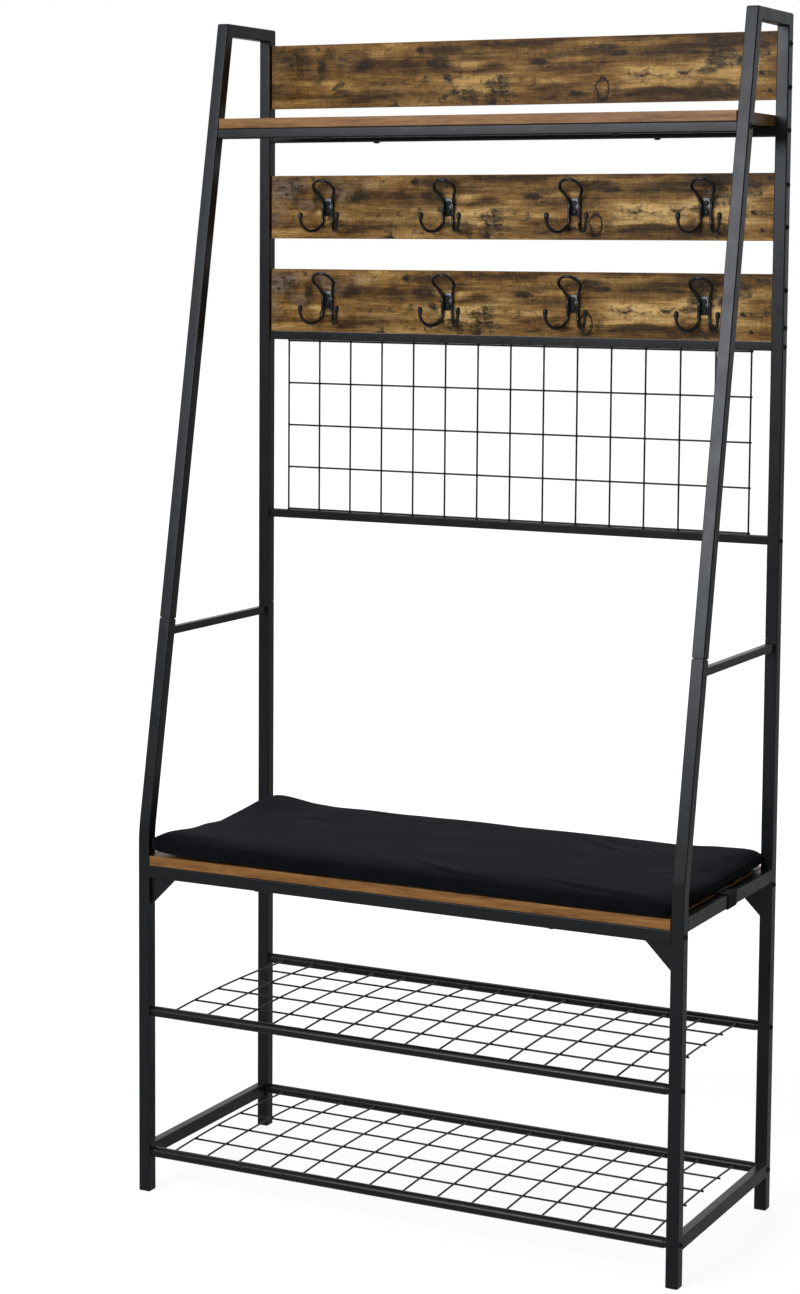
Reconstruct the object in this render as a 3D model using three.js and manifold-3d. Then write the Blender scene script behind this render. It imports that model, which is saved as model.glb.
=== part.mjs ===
// Hall tree: a bench with a pad, two wire shoe shelves below it, and a leaning front frame that
// carries coat hooks, a wire back grid and a hat shelf. Millimetres, +Z up, the front faces -Y.
// The origin is on the floor, in the middle of the footprint.
import * as THREE from "three";
import { mergeVertices } from "three/addons/utils/BufferGeometryUtils.js";
import Module from "manifold-3d";

// ---- driving dimensions ----
const WIDTH = 890; // outside to outside of the side frames
const DEPTH = 386;
const HEIGHT = 1800;
const TUBE = 19; // square frame tube
const WALL = 1.2;
const CORNER = 1.5; // outside corner radius of straight tubes
const GAP = 0.3; // clearance between pieces that touch

const BEND_Z = 563; // where the front post leaves the vertical
const BEND_RADIUS = 200;
const LEAN = Math.atan(0.19); // backward lean of the front post above the bend
const FRONT_SEAM_Z = 885; // split between lower and upper front post
const FRONT_SEAM_GAP = 1.8;
const REAR_SEAM_Z = 877.5;
const REAR_SEAM_GAP = 0.8;
const SPIGOT_LENGTH = 110;
const SPIGOT_WALL = 2;

const FOOT_FLANGE = 2.5;
const FOOT_PLUG = 14;

const ARM_Z = 865;
const ARM_WIDTH = 11;
const ARM_HEIGHT = 12;

const SEAT_RAIL_Z = 518; // side rails beside the bench board
const BASE_RAIL_Z = 62;
const BASE_RAIL_WIDTH = 15;
const BASE_RAIL_HEIGHT = 20;

const BENCH_RAIL_Z = 503; // front and rear rails under the bench board
const BOARD = 15; // bench and hat shelf boards
const BOARD_LENGTH = 850;
const GUSSET_LEG = 42;
const GUSSET_CLIP = 3;
const GUSSET_THICK = 3;

const SHELF_LEVELS = { mid: 283.5, base: 62 };
const SHELF_TUBE_RADIUS = 8;
const SHELF_TUBE_WALL = 1.2;

const WIRE = 3; // wire of the grid panels
const WIRE_COUNT = 15; // wires across the short way of every panel
const WIRE_PITCH = 56.23;
const SHELF_LONG_WIRES = [-105.2, -35.1, 35.1, 105.2];
const SHELF_CAMBER = 5; // rise of the shelf wires at mid depth
const WIRE_LAP = 0.5; // how far crossing wires are welded into each other
const WIRE_OVERHANG = 3;
const GRID_ROWS = 5;

const BAR = 13; // square tube of the crossbars
const HAT_RAIL = 16; // square tube of the hat shelf rails
const GRID_TOP_Z = 1312.5;
const GRID_BOTTOM_Z = 1024;
const HAT_RAIL_Z = 1628.5;
const REAR_BOARD = 12;
const REAR_BOARD_HEIGHT = 100;
const REAR_BOARD_Y = 185;
const REAR_BOARD_LEVELS = { top_back_board: 1724.5, upper_hook_board: 1518, lower_hook_board: 1369.4 };

const HOOK_X = [-320.2, -106.8, 106.8, 320.2];
const HOOK_ROWS = { upper: 1517.5, lower: 1371 };
const HOOK_WIRE = 2.5; // radius
const HOOK_STEM = 8.5; // half distance between the two stems
const HOOK_STEM_TOP = 14;
const HOOK_STEM_BOTTOM = -18.3;
const HOOK_RADIUS = 19.3; // of each J
const HOOK_SPLAY = THREE.MathUtils.degToRad(39);
const HOOK_TIP_RISE = 6;
const HOOK_TIP_RADIUS = 3.8;
const HOOK_TIP_STRETCH = 1.5; // length of a tip over its width
const LOOP_RADIUS = 17.5;
const LOOP_CENTRE = 20.5; // from the stem top, along the leaning loop
const LOOP_LEAN = THREE.MathUtils.degToRad(43); // forward from the vertical
const PLATE = { width: 18, height: 28, thick: 1.8 };

const PAD = { length: 834, depth: 366, thick: 27, y: -5, corner: 14, round: 7 };
const STRAP_WIDTH = 33;
const STRAP_THICK = 1.4;
const STRAP_TAIL = 70; // length of the tail under the bench board

// ---- derived positions ----
const HALF_W = WIDTH / 2;
const HALF_D = DEPTH / 2;
const POST_X = HALF_W - TUBE / 2;
const POST_Y = HALF_D - TUBE / 2;
const INNER_X = HALF_W - TUBE;
const INNER_Y = HALF_D - TUBE;
const SPAN = 2 * INNER_X - 2 * GAP; // length of every rail between the side frames
const BENCH_BOARD_BOTTOM = BENCH_RAIL_Z + TUBE / 2 + GAP;
const BENCH_TOP = BENCH_BOARD_BOTTOM + BOARD;
const HAT_BOARD_BOTTOM = HAT_RAIL_Z + HAT_RAIL / 2 + GAP;
const SLOPE = Math.tan(LEAN);
const LEAN_DEPTH = TUBE / Math.cos(LEAN); // depth of the leaning tube measured level

// Front face of the front post at a height.
const frontFace = (z) => -HALF_D + Math.max(0, SLOPE * (z - BEND_Z));
const frontCentre = (z) => frontFace(z) + LEAN_DEPTH / 2;

// ---- materials ----
const finish = (color, roughness, metalness) =>
  new THREE.MeshStandardMaterial({ color, roughness, metalness });
const MATERIALS = {
  frame: () => finish(0x26282a, 0.5, 0.5),
  wire: () => finish(0x1d1e20, 0.45, 0.5),
  hook: () => finish(0x141517, 0.35, 0.6),
  board: () => finish(0x8a6238, 0.6, 0.0),
  fabric: () => finish(0x1b1d22, 0.9, 0.0),
  webbing: () => finish(0x151516, 0.85, 0.0),
  plastic: () => finish(0x121213, 0.6, 0.0),
};

// ---- booleans ----
const wasm = await Module();
wasm.setup();

function toSolid(geometry) {
  const bare = geometry.clone();
  bare.deleteAttribute("normal");
  bare.deleteAttribute("uv");
  const merged = mergeVertices(bare, 1e-4);
  return new wasm.Manifold(
    new wasm.Mesh({
      numProp: 3,
      vertProperties: new Float32Array(merged.attributes.position.array),
      triVerts: new Uint32Array(merged.index.array),
    }),
  );
}

function toGeometry(solid) {
  const mesh = solid.getMesh();
  const geometry = new THREE.BufferGeometry();
  geometry.setAttribute("position", new THREE.BufferAttribute(new Float32Array(mesh.vertProperties), 3));
  geometry.setIndex(new THREE.BufferAttribute(new Uint32Array(mesh.triVerts), 1));
  geometry.computeVertexNormals();
  return geometry;
}

const join = (geometries) =>
  toGeometry(geometries.map(toSolid).reduce((whole, next) => whole.add(next)));

const cut = (geometry, tool) => toGeometry(toSolid(geometry).subtract(toSolid(tool)));

// ---- shapes ----
function roundedRectangle(target, width, height, radius) {
  const x = width / 2;
  const y = height / 2;
  target.moveTo(-x + radius, -y);
  target.lineTo(x - radius, -y);
  target.absarc(x - radius, -y + radius, radius, -Math.PI / 2, 0);
  target.lineTo(x, y - radius);
  target.absarc(x - radius, y - radius, radius, 0, Math.PI / 2);
  target.lineTo(-x + radius, y);
  target.absarc(-x + radius, y - radius, radius, Math.PI / 2, Math.PI);
  target.lineTo(-x, -y + radius);
  target.absarc(-x + radius, -y + radius, radius, Math.PI, 1.5 * Math.PI);
  return target;
}

// Turns a geometry that runs along local Z so that it runs along a row axis. The section's width
// stays level and its height stays upright.
function alongAxis(geometry, axis) {
  const turned = {
    x: [new THREE.Vector3(0, 1, 0), new THREE.Vector3(0, 0, 1), new THREE.Vector3(1, 0, 0)],
    y: [new THREE.Vector3(1, 0, 0), new THREE.Vector3(0, 0, 1), new THREE.Vector3(0, -1, 0)],
  }[axis];
  return turned ? geometry.applyMatrix4(new THREE.Matrix4().makeBasis(...turned)) : geometry;
}

// Straight rectangular tube with open ends, centred on the origin.
function boxTube(axis, length, width = TUBE, height = TUBE, wall = WALL) {
  const shape = roundedRectangle(new THREE.Shape(), width, height, CORNER);
  const bore = new THREE.Path();
  const x = width / 2 - wall;
  const y = height / 2 - wall;
  bore.moveTo(-x, -y);
  bore.lineTo(-x, y);
  bore.lineTo(x, y);
  bore.lineTo(x, -y);
  bore.closePath();
  shape.holes.push(bore);
  const tube = new THREE.ExtrudeGeometry(shape, { depth: length, bevelEnabled: false, curveSegments: 1 });
  tube.translate(0, 0, -length / 2);
  return alongAxis(tube, axis);
}

function roundTube(axis, length, radius, wall) {
  const shape = new THREE.Shape().absarc(0, 0, radius, 0, 2 * Math.PI);
  shape.holes.push(new THREE.Path().absarc(0, 0, radius - wall, 0, 2 * Math.PI, true));
  const tube = new THREE.ExtrudeGeometry(shape, { depth: length, bevelEnabled: false, curveSegments: 8 });
  tube.translate(0, 0, -length / 2);
  return alongAxis(tube, axis);
}

// Solid whose outline lies in the YZ plane, extruded to a width along X and centred on x = 0.
function sideSlab(points, width) {
  const shape = new THREE.Shape(points.map(([y, z]) => new THREE.Vector2(y, z)));
  const slab = new THREE.ExtrudeGeometry(shape, { depth: width, bevelEnabled: false });
  slab.translate(0, 0, -width / 2);
  return alongAxis(slab, "x");
}

// Points of a ribbon at a distance either side of a centre line in the YZ plane.
function ribbon(line, half, extend = 0) {
  const ends = line.map((p) => p.clone());
  const last = ends.length - 1;
  ends[0].addScaledVector(line[0].clone().sub(line[1]).normalize(), extend);
  ends[last].addScaledVector(line[last].clone().sub(line[last - 1]).normalize(), extend);
  const offset = (side) =>
    ends.map((p, i) => {
      const before = line[Math.max(i - 1, 0)];
      const after = line[Math.min(i + 1, last)];
      const along = after.clone().sub(before).normalize();
      return [p.x + side * half * -along.y, p.y + side * half * along.x];
    });
  return [...offset(-1), ...offset(1).reverse()];
}

// ---- scene graph ----
const hallTree = new THREE.Group();
hallTree.name = "hall_tree";

function addPiece(name, geometry, slot, x = 0, y = 0, z = 0) {
  const mesh = new THREE.Mesh(geometry, MATERIALS[slot]());
  mesh.name = name;
  mesh.position.set(x, y, z);
  hallTree.add(mesh);
  return mesh;
}

// ---- side frames ----
// Lower front leg: upright, then bent backwards, up to the seam.
function frontLegGeometry() {
  const tangent = BEND_RADIUS * Math.tan(LEAN / 2);
  const vertexZ = BEND_Z - (LEAN_DEPTH - TUBE) / 2 / SLOPE;
  const centreY = -POST_Y + BEND_RADIUS;
  const line = [new THREE.Vector2(-POST_Y, FOOT_FLANGE + GAP)];
  const steps = 4;
  for (let i = 0; i <= steps; i += 1) {
    const angle = (LEAN * i) / steps;
    const y = centreY - BEND_RADIUS * Math.cos(angle);
    line.push(new THREE.Vector2(y, vertexZ - tangent + BEND_RADIUS * Math.sin(angle)));
  }
  const topZ = FRONT_SEAM_Z - (FRONT_SEAM_GAP / 2) * Math.cos(LEAN);
  line.push(new THREE.Vector2(frontCentre(topZ), topZ));
  const body = sideSlab(ribbon(line, TUBE / 2), TUBE);
  return cut(body, sideSlab(ribbon(line, TUBE / 2 - WALL, 1), TUBE - 2 * WALL));
}

// The upper frame's corners are mitred, and each member stops a little short of the mitre.
const MITRE_BACK = 0.22;
const TOP_INNER_Z = HEIGHT - TUBE;

function upperFrontPostGeometry() {
  const along = new THREE.Vector2(Math.sin(LEAN), Math.cos(LEAN));
  const footZ = FRONT_SEAM_Z + (FRONT_SEAM_GAP / 2) * Math.cos(LEAN);
  const foot = new THREE.Vector2(frontCentre(footZ), footZ);
  const side = new THREE.Vector2(along.y, -along.x).multiplyScalar(TUBE / 2);
  const outline = [
    [foot.x - side.x, foot.y - side.y],
    [foot.x + side.x, foot.y + side.y],
    [frontFace(TOP_INNER_Z) + LEAN_DEPTH - along.x * MITRE_BACK, TOP_INNER_Z - along.y * MITRE_BACK],
    [frontFace(HEIGHT) - along.x * MITRE_BACK, HEIGHT - along.y * MITRE_BACK],
  ];
  const line = [foot, new THREE.Vector2(frontCentre(HEIGHT), HEIGHT)];
  return cut(sideSlab(outline, TUBE), sideSlab(ribbon(line, TUBE / 2 - WALL, 10), TUBE - 2 * WALL));
}

function upperRearPostGeometry() {
  const foot = REAR_SEAM_Z + REAR_SEAM_GAP / 2;
  const outline = [
    [INNER_Y, foot],
    [HALF_D, foot],
    [HALF_D, HEIGHT - MITRE_BACK],
    [INNER_Y, TOP_INNER_Z - MITRE_BACK],
  ];
  const line = [new THREE.Vector2(POST_Y, foot), new THREE.Vector2(POST_Y, HEIGHT)];
  return cut(sideSlab(outline, TUBE), sideSlab(ribbon(line, TUBE / 2 - WALL, 10), TUBE - 2 * WALL));
}

function topSideRailGeometry() {
  const outline = [
    [frontFace(TOP_INNER_Z) + LEAN_DEPTH + MITRE_BACK, TOP_INNER_Z],
    [INNER_Y - MITRE_BACK, TOP_INNER_Z],
    [HALF_D - MITRE_BACK, HEIGHT],
    [frontFace(HEIGHT) + MITRE_BACK, HEIGHT],
  ];
  const middle = HEIGHT - TUBE / 2;
  const line = [new THREE.Vector2(frontFace(HEIGHT), middle), new THREE.Vector2(HALF_D, middle)];
  return cut(sideSlab(outline, TUBE), sideSlab(ribbon(line, TUBE / 2 - WALL, 10), TUBE - 2 * WALL));
}

// Arm bar: level, from the leaning post to the rear post, its front end cut to the lean.
function armBarGeometry() {
  const rearFace = (z) => frontFace(z) + LEAN_DEPTH + GAP;
  const low = ARM_Z - ARM_HEIGHT / 2;
  const high = ARM_Z + ARM_HEIGHT / 2;
  const outline = [
    [rearFace(low), low],
    [INNER_Y - GAP, low],
    [INNER_Y - GAP, high],
    [rearFace(high), high],
  ];
  const line = [new THREE.Vector2(rearFace(ARM_Z), ARM_Z), new THREE.Vector2(INNER_Y, ARM_Z)];
  const bore = sideSlab(ribbon(line, ARM_HEIGHT / 2 - WALL, 10), ARM_WIDTH - 2 * WALL);
  return cut(sideSlab(outline, ARM_WIDTH), bore);
}

// Plastic foot: a flange the size of the tube, with a plug that fits inside it.
function footGeometry() {
  const plug = TUBE - 2 * WALL - 2 * GAP;
  const flange = new THREE.BoxGeometry(TUBE, TUBE, FOOT_FLANGE).translate(0, 0, FOOT_FLANGE / 2);
  const stem = new THREE.BoxGeometry(plug, plug, FOOT_PLUG).translate(0, 0, FOOT_PLUG / 2);
  return join([flange, stem]);
}

function addSideFrame(side, sign) {
  const x = sign * POST_X;
  const rearLegLow = FOOT_FLANGE + GAP;
  const rearLegHigh = REAR_SEAM_Z - REAR_SEAM_GAP / 2;
  const spigotSize = TUBE - 2 * WALL - 2 * GAP;
  const spigot = () => boxTube("z", SPIGOT_LENGTH, spigotSize, spigotSize, SPIGOT_WALL);
  const railLength = 2 * INNER_Y - 2 * GAP;
  const baseRailX = sign * (HALF_W - BASE_RAIL_WIDTH / 2);

  addPiece(side + "_front_leg", frontLegGeometry(), "frame", x);
  addPiece(side + "_rear_leg", boxTube("z", rearLegHigh - rearLegLow), "frame", x, POST_Y,
    (rearLegLow + rearLegHigh) / 2);
  addPiece(side + "_upper_front_post", upperFrontPostGeometry(), "frame", x);
  addPiece(side + "_upper_rear_post", upperRearPostGeometry(), "frame", x);
  addPiece(side + "_top_rail", topSideRailGeometry(), "frame", x);
  addPiece(side + "_arm_bar", armBarGeometry(), "frame", x);
  addPiece(side + "_seat_rail", boxTube("y", railLength), "frame", x, 0, SEAT_RAIL_Z);
  addPiece(side + "_base_rail", boxTube("y", railLength, BASE_RAIL_WIDTH, BASE_RAIL_HEIGHT), "frame",
    baseRailX, 0, BASE_RAIL_Z);
  addPiece(side + "_rear_spigot", spigot(), "plastic", x, POST_Y, REAR_SEAM_Z);
  const frontSpigot = addPiece(side + "_front_spigot", spigot(), "plastic", x,
    frontCentre(FRONT_SEAM_Z), FRONT_SEAM_Z);
  frontSpigot.rotation.x = -LEAN;
  addPiece(side + "_front_foot", footGeometry(), "plastic", x, -POST_Y);
  addPiece(side + "_rear_foot", footGeometry(), "plastic", x, POST_Y);
}

// ---- bench and hat shelf ----
// Flat corner plate under a bench rail, its right angle at the top outside corner.
function gussetGeometry(sign) {
  const shape = new THREE.Shape();
  shape.moveTo(-sign * GUSSET_CLIP, 0);
  shape.lineTo(-sign * GUSSET_LEG, 0);
  shape.lineTo(0, -GUSSET_LEG);
  shape.lineTo(0, -GUSSET_CLIP);
  const plate = new THREE.ExtrudeGeometry(shape, { depth: GUSSET_THICK, bevelEnabled: false });
  plate.translate(0, 0, -GUSSET_THICK / 2);
  return alongAxis(plate, "y");
}

function addBench(sides) {
  addPiece("bench_front_rail", boxTube("x", SPAN), "frame", 0, -POST_Y, BENCH_RAIL_Z);
  addPiece("bench_rear_rail", boxTube("x", SPAN), "frame", 0, POST_Y, BENCH_RAIL_Z);
  addPiece("bench_board", new THREE.BoxGeometry(BOARD_LENGTH, DEPTH, BOARD), "board", 0, 0,
    BENCH_BOARD_BOTTOM + BOARD / 2);
  const gussetZ = BENCH_RAIL_Z - TUBE / 2 - GAP;
  for (const [side, sign] of sides) {
    for (const [end, y] of [["front", -POST_Y], ["rear", POST_Y]]) {
      addPiece(side + "_" + end + "_gusset", gussetGeometry(sign), "frame",
        sign * (INNER_X - GAP), y, gussetZ);
    }
  }
}

function addHatShelf() {
  const boardFront = frontFace(HAT_BOARD_BOTTOM + BOARD / 2);
  const boardRear = HALF_D - 3;
  const railY = { front: frontCentre(HAT_RAIL_Z), rear: POST_Y };
  for (const [end, y] of Object.entries(railY)) {
    addPiece("hat_shelf_" + end + "_rail", boxTube("x", SPAN, HAT_RAIL, HAT_RAIL), "frame", 0, y, HAT_RAIL_Z);
  }
  const board = new THREE.BoxGeometry(BOARD_LENGTH, boardRear - boardFront, BOARD);
  addPiece("hat_shelf_board", board, "board", 0, (boardFront + boardRear) / 2,
    HAT_BOARD_BOTTOM + BOARD / 2);
}

// ---- wire panels ----
const wireX = (i) => (i - (WIRE_COUNT - 1) / 2) * WIRE_PITCH;

function wireAlong(curve, steps) {
  const section = new THREE.Shape();
  const half = WIRE / 2;
  section.moveTo(-half, -half);
  section.lineTo(half, -half);
  section.lineTo(half, half);
  section.lineTo(-half, half);
  return new THREE.ExtrudeGeometry(section, { steps, extrudePath: curve, bevelEnabled: false });
}

const straightWire = (from, to) => wireAlong(new THREE.LineCurve3(from, to), 1);

function addShoeShelf(level, tubeZ) {
  for (const [end, y] of [["front", -POST_Y], ["rear", POST_Y]]) {
    addPiece(level + "_shelf_" + end + "_tube",
      roundTube("x", SPAN, SHELF_TUBE_RADIUS, SHELF_TUBE_WALL), "frame", 0, y, tubeZ);
  }
  const reach = POST_Y - SHELF_TUBE_RADIUS - GAP;
  const endZ = 1;
  const wireZ = (y) => endZ + SHELF_CAMBER * (1 - (y / reach) ** 2);
  const wires = [];
  for (let i = 0; i < WIRE_COUNT; i += 1) {
    const x = wireX(i);
    const bow = new THREE.QuadraticBezierCurve3(
      new THREE.Vector3(x, -reach, endZ),
      new THREE.Vector3(x, 0, endZ + 2 * SHELF_CAMBER),
      new THREE.Vector3(x, reach, endZ),
    );
    wires.push(wireAlong(bow, 4));
  }
  const end = wireX(WIRE_COUNT - 1) + WIRE_OVERHANG;
  for (const y of SHELF_LONG_WIRES) {
    const z = wireZ(y) - WIRE + WIRE_LAP;
    wires.push(straightWire(new THREE.Vector3(-end, y, z), new THREE.Vector3(end, y, z)));
  }
  addPiece(level + "_shelf_mesh", join(wires), "wire", 0, 0, tubeZ);
}

function addBackGrid() {
  const low = GRID_BOTTOM_Z + BAR / 2 + GAP;
  const high = GRID_TOP_Z - BAR / 2 - GAP;
  addPiece("grid_upper_crossbar", boxTube("x", SPAN, BAR, BAR), "frame", 0, POST_Y, GRID_TOP_Z);
  addPiece("grid_lower_crossbar", boxTube("x", SPAN, BAR, BAR), "frame", 0, POST_Y, GRID_BOTTOM_Z);
  const wires = [];
  for (let i = 0; i < WIRE_COUNT; i += 1) {
    wires.push(straightWire(new THREE.Vector3(wireX(i), 0, low), new THREE.Vector3(wireX(i), 0, high)));
  }
  const end = wireX(WIRE_COUNT - 1) + WIRE / 2;
  const rise = (high - low - WIRE) / (GRID_ROWS - 1);
  for (let row = 0; row < GRID_ROWS; row += 1) {
    const z = low + WIRE / 2 + row * rise;
    const y = WIRE - WIRE_LAP;
    wires.push(straightWire(new THREE.Vector3(-end, y, z), new THREE.Vector3(end, y, z)));
  }
  addPiece("back_grid", join(wires), "wire", 0, POST_Y - 1, 0);
}

// ---- back boards and hooks ----
function addRearBoards() {
  for (const [name, z] of Object.entries(REAR_BOARD_LEVELS)) {
    addPiece(name, new THREE.BoxGeometry(BOARD_LENGTH, REAR_BOARD, REAR_BOARD_HEIGHT), "board", 0,
      REAR_BOARD_Y, z);
  }
}

// Centre line of the bent wire: left J, left stem, leaning loop, right stem, right J. The points
// are relative to the middle of the plate's back.
function hookPath() {
  const wireY = -PLATE.thick - HOOK_WIRE + 0.3;
  const jPoint = (reach, z) => {
    const x = HOOK_STEM + reach * Math.sin(HOOK_SPLAY);
    return new THREE.Vector3(x, wireY - reach * Math.cos(HOOK_SPLAY), z);
  };
  const half = [jPoint(2 * HOOK_RADIUS, HOOK_STEM_BOTTOM + HOOK_TIP_RISE)];
  for (let i = 0; i <= 6; i += 1) {
    const angle = (Math.PI * i) / 6;
    half.push(jPoint(HOOK_RADIUS * (1 + Math.cos(angle)), HOOK_STEM_BOTTOM - HOOK_RADIUS * Math.sin(angle)));
  }
  half.push(jPoint(0, -2), jPoint(0, HOOK_STEM_TOP - 2));
  const loopStart = THREE.MathUtils.degToRad(-38);
  for (let i = 0; i <= 6; i += 1) {
    const angle = loopStart + ((Math.PI / 2 - loopStart) * i) / 6;
    const lean = LOOP_CENTRE + LOOP_RADIUS * Math.sin(angle);
    half.push(new THREE.Vector3(
      LOOP_RADIUS * Math.cos(angle),
      wireY - lean * Math.sin(LOOP_LEAN),
      HOOK_STEM_TOP + lean * Math.cos(LOOP_LEAN),
    ));
  }
  const mirrored = half.map((p) => new THREE.Vector3(-p.x, p.y, p.z));
  return [...mirrored, ...half.slice(0, -1).reverse()];
}

function hookGeometry() {
  const points = hookPath();
  const curve = new THREE.CatmullRomCurve3(points, false, "centripetal");
  const section = new THREE.Shape();
  for (let i = 0; i < 6; i += 1) {
    const angle = (Math.PI * i) / 3;
    const corner = [HOOK_WIRE * Math.cos(angle), HOOK_WIRE * Math.sin(angle)];
    if (i === 0) section.moveTo(...corner);
    else section.lineTo(...corner);
  }
  const wire = new THREE.ExtrudeGeometry(section, { steps: 36, extrudePath: curve, bevelEnabled: false });
  const plate = new THREE.BoxGeometry(PLATE.width, PLATE.thick, PLATE.height)
    .translate(0, -PLATE.thick / 2, 0);
  const tips = [points[0], points[points.length - 1]].map((p) =>
    new THREE.SphereGeometry(HOOK_TIP_RADIUS, 6, 4)
      .rotateX(Math.PI / 2)
      .scale(1, 1, HOOK_TIP_STRETCH)
      .translate(p.x, p.y, p.z));
  return join([wire, plate, ...tips]);
}

function addHooks() {
  const boardFace = REAR_BOARD_Y - REAR_BOARD / 2 - GAP;
  for (const [row, z] of Object.entries(HOOK_ROWS)) {
    HOOK_X.forEach((x, i) => addPiece(row + "_hook_" + (i + 1), hookGeometry(), "hook", x, boardFace, z));
  }
}

// ---- seat pad and its straps ----
function addPad() {
  const outline = roundedRectangle(new THREE.Shape(), PAD.length - 2 * PAD.round,
    PAD.depth - 2 * PAD.round, PAD.corner);
  const pad = new THREE.ExtrudeGeometry(outline, {
    depth: PAD.thick - 2 * PAD.round, bevelEnabled: true, bevelSize: PAD.round,
    bevelThickness: PAD.round, bevelSegments: 2, curveSegments: 3,
  });
  addPiece("seat_pad", pad, "fabric", 0, PAD.y, BENCH_TOP + 0.5 + PAD.round);
}

// Strap from the pad's end over the side rail, down its outside, under it and back under the board.
function addStrap(side, sign) {
  const railTop = SEAT_RAIL_Z + TUBE / 2;
  const railBottom = SEAT_RAIL_Z - TUBE / 2;
  const half = STRAP_THICK / 2;
  const clear = GAP + half;
  const padEnd = PAD.length / 2;
  const line = [
    [padEnd + GAP, BENCH_TOP + clear + 2],
    [INNER_X, BENCH_TOP + clear + 0.5],
    [HALF_W - 1, railTop + clear],
    [HALF_W + clear, railTop - 1],
    [HALF_W + clear, railBottom + 1],
    [HALF_W - 1, railBottom - clear],
    [INNER_X, railBottom - clear],
    [INNER_X - 9, BENCH_BOARD_BOTTOM - clear],
    [INNER_X - STRAP_TAIL, BENCH_BOARD_BOTTOM - clear],
  ].map(([x, z]) => new THREE.Vector2(x, z));
  const outline = ribbon(line, half).map(([x, z]) => new THREE.Vector2(sign * x, z));
  const profile = new THREE.Shape(outline);
  const band = new THREE.ExtrudeGeometry(profile, { depth: STRAP_WIDTH, bevelEnabled: false });
  band.translate(0, 0, -STRAP_WIDTH / 2);
  addPiece(side + "_pad_strap", alongAxis(band, "y"), "webbing");
}

const SIDES = [["left", -1], ["right", 1]];
for (const [side, sign] of SIDES) {
  addSideFrame(side, sign);
  addStrap(side, sign);
}
addBench(SIDES);
addHatShelf();
for (const [level, z] of Object.entries(SHELF_LEVELS)) addShoeShelf(level, z);
addBackGrid();
addRearBoards();
addHooks();
addPad();

export default hallTree;
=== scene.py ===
import math

import bmesh
import bpy
import numpy as np
from mathutils import Matrix, Vector, noise


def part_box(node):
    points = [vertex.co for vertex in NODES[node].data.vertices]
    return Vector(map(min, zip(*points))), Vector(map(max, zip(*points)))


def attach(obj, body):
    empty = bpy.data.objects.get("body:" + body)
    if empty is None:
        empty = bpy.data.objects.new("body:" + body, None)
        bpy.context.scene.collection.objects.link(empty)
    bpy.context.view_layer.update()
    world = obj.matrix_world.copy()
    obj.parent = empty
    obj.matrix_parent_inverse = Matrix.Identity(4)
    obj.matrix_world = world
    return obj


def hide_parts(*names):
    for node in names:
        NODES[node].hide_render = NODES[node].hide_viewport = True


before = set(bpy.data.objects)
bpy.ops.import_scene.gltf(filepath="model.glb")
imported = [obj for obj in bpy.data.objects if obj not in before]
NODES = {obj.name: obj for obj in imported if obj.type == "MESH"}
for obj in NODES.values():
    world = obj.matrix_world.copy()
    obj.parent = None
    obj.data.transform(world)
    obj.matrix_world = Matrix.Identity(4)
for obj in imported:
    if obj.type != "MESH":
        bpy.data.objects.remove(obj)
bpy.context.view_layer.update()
MM = 0.001
SIDES = (("left", -1), ("right", 1))
CORNERS = [side + "_" + end for side, _ in SIDES for end in ("front", "rear")]


def cad_span(node, axis):
    """Lowest and highest coordinate of a CAD node along an axis."""
    low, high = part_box(node)
    return low[axis], high[axis]


def cad_middle(node, axis):
    return sum(cad_span(node, axis)) / 2


def add_object(name, data):
    obj = bpy.data.objects.new(name, data)
    bpy.context.scene.collection.objects.link(obj)
    return obj


# ---- driving dimensions, most of them read from the frame ----
TUBE = 19 * MM
HALF_W = cad_span("right_rear_leg", 0)[1]
HALF_D = cad_span("right_rear_leg", 1)[1]
TOP_Z = cad_span("right_top_rail", 2)[1]
POST_X = HALF_W - TUBE / 2
POST_Y = HALF_D - TUBE / 2
INNER_X = HALF_W - TUBE
INNER_Y = HALF_D - TUBE
CORNER = 1.7 * MM  # outer radius of the tube's edges
FOOT_TOP = cad_span("right_rear_leg", 2)[0]
REAR_SEAM = (cad_span("right_rear_leg", 2)[1], cad_span("right_upper_rear_post", 2)[0])

# The front legs stand upright to BEND_Z and lean back by SLOPE above it.
BEND_Z = 563 * MM
BEND_RADIUS = 200 * MM
SLOPE = 0.19
LEAN = math.atan(SLOPE)
LEAN_DEPTH = TUBE / math.cos(LEAN)
FRONT_SEAM_Z = 885 * MM
FRONT_SEAM_GAP = 1.8 * MM
ARM_BAR = (11 * MM, 12 * MM)
BASE_RAIL = (15 * MM, 20 * MM)
MITRE_INNER = 0.6 * MM
MITRE_OUTER = 3.2 * MM
TUBE_WALL = 1.2 * MM
LIP_DEPTH = 8 * MM

BENCH_LOW, BENCH_TOP = cad_span("bench_board", 2)
SEAT_RAIL_Z = cad_middle("right_seat_rail", 2)
ARM_Z = cad_middle("right_arm_bar", 2)
BASE_Z = cad_middle("base_shelf_front_tube", 2)
MID_Z = cad_middle("mid_shelf_front_tube", 2)
BOARD_FRONT = cad_span("upper_hook_board", 1)[0]


def front_face(z):
    """Y of the front legs' and posts' front face."""
    return -HALF_D + max(0.0, SLOPE * (z - BEND_Z))


def front_centre(z):
    return front_face(z) + LEAN_DEPTH / 2


# ---- camera ----
CAMERA_SPOT = (1.801, -3.742, 1.451)
CAMERA_ANGLES = (26.91, 5.51, 0.41)  # azimuth, pitch down and roll, degrees
CAMERA_LENS = 77.31
CAMERA_SHIFT = -0.0997


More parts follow.
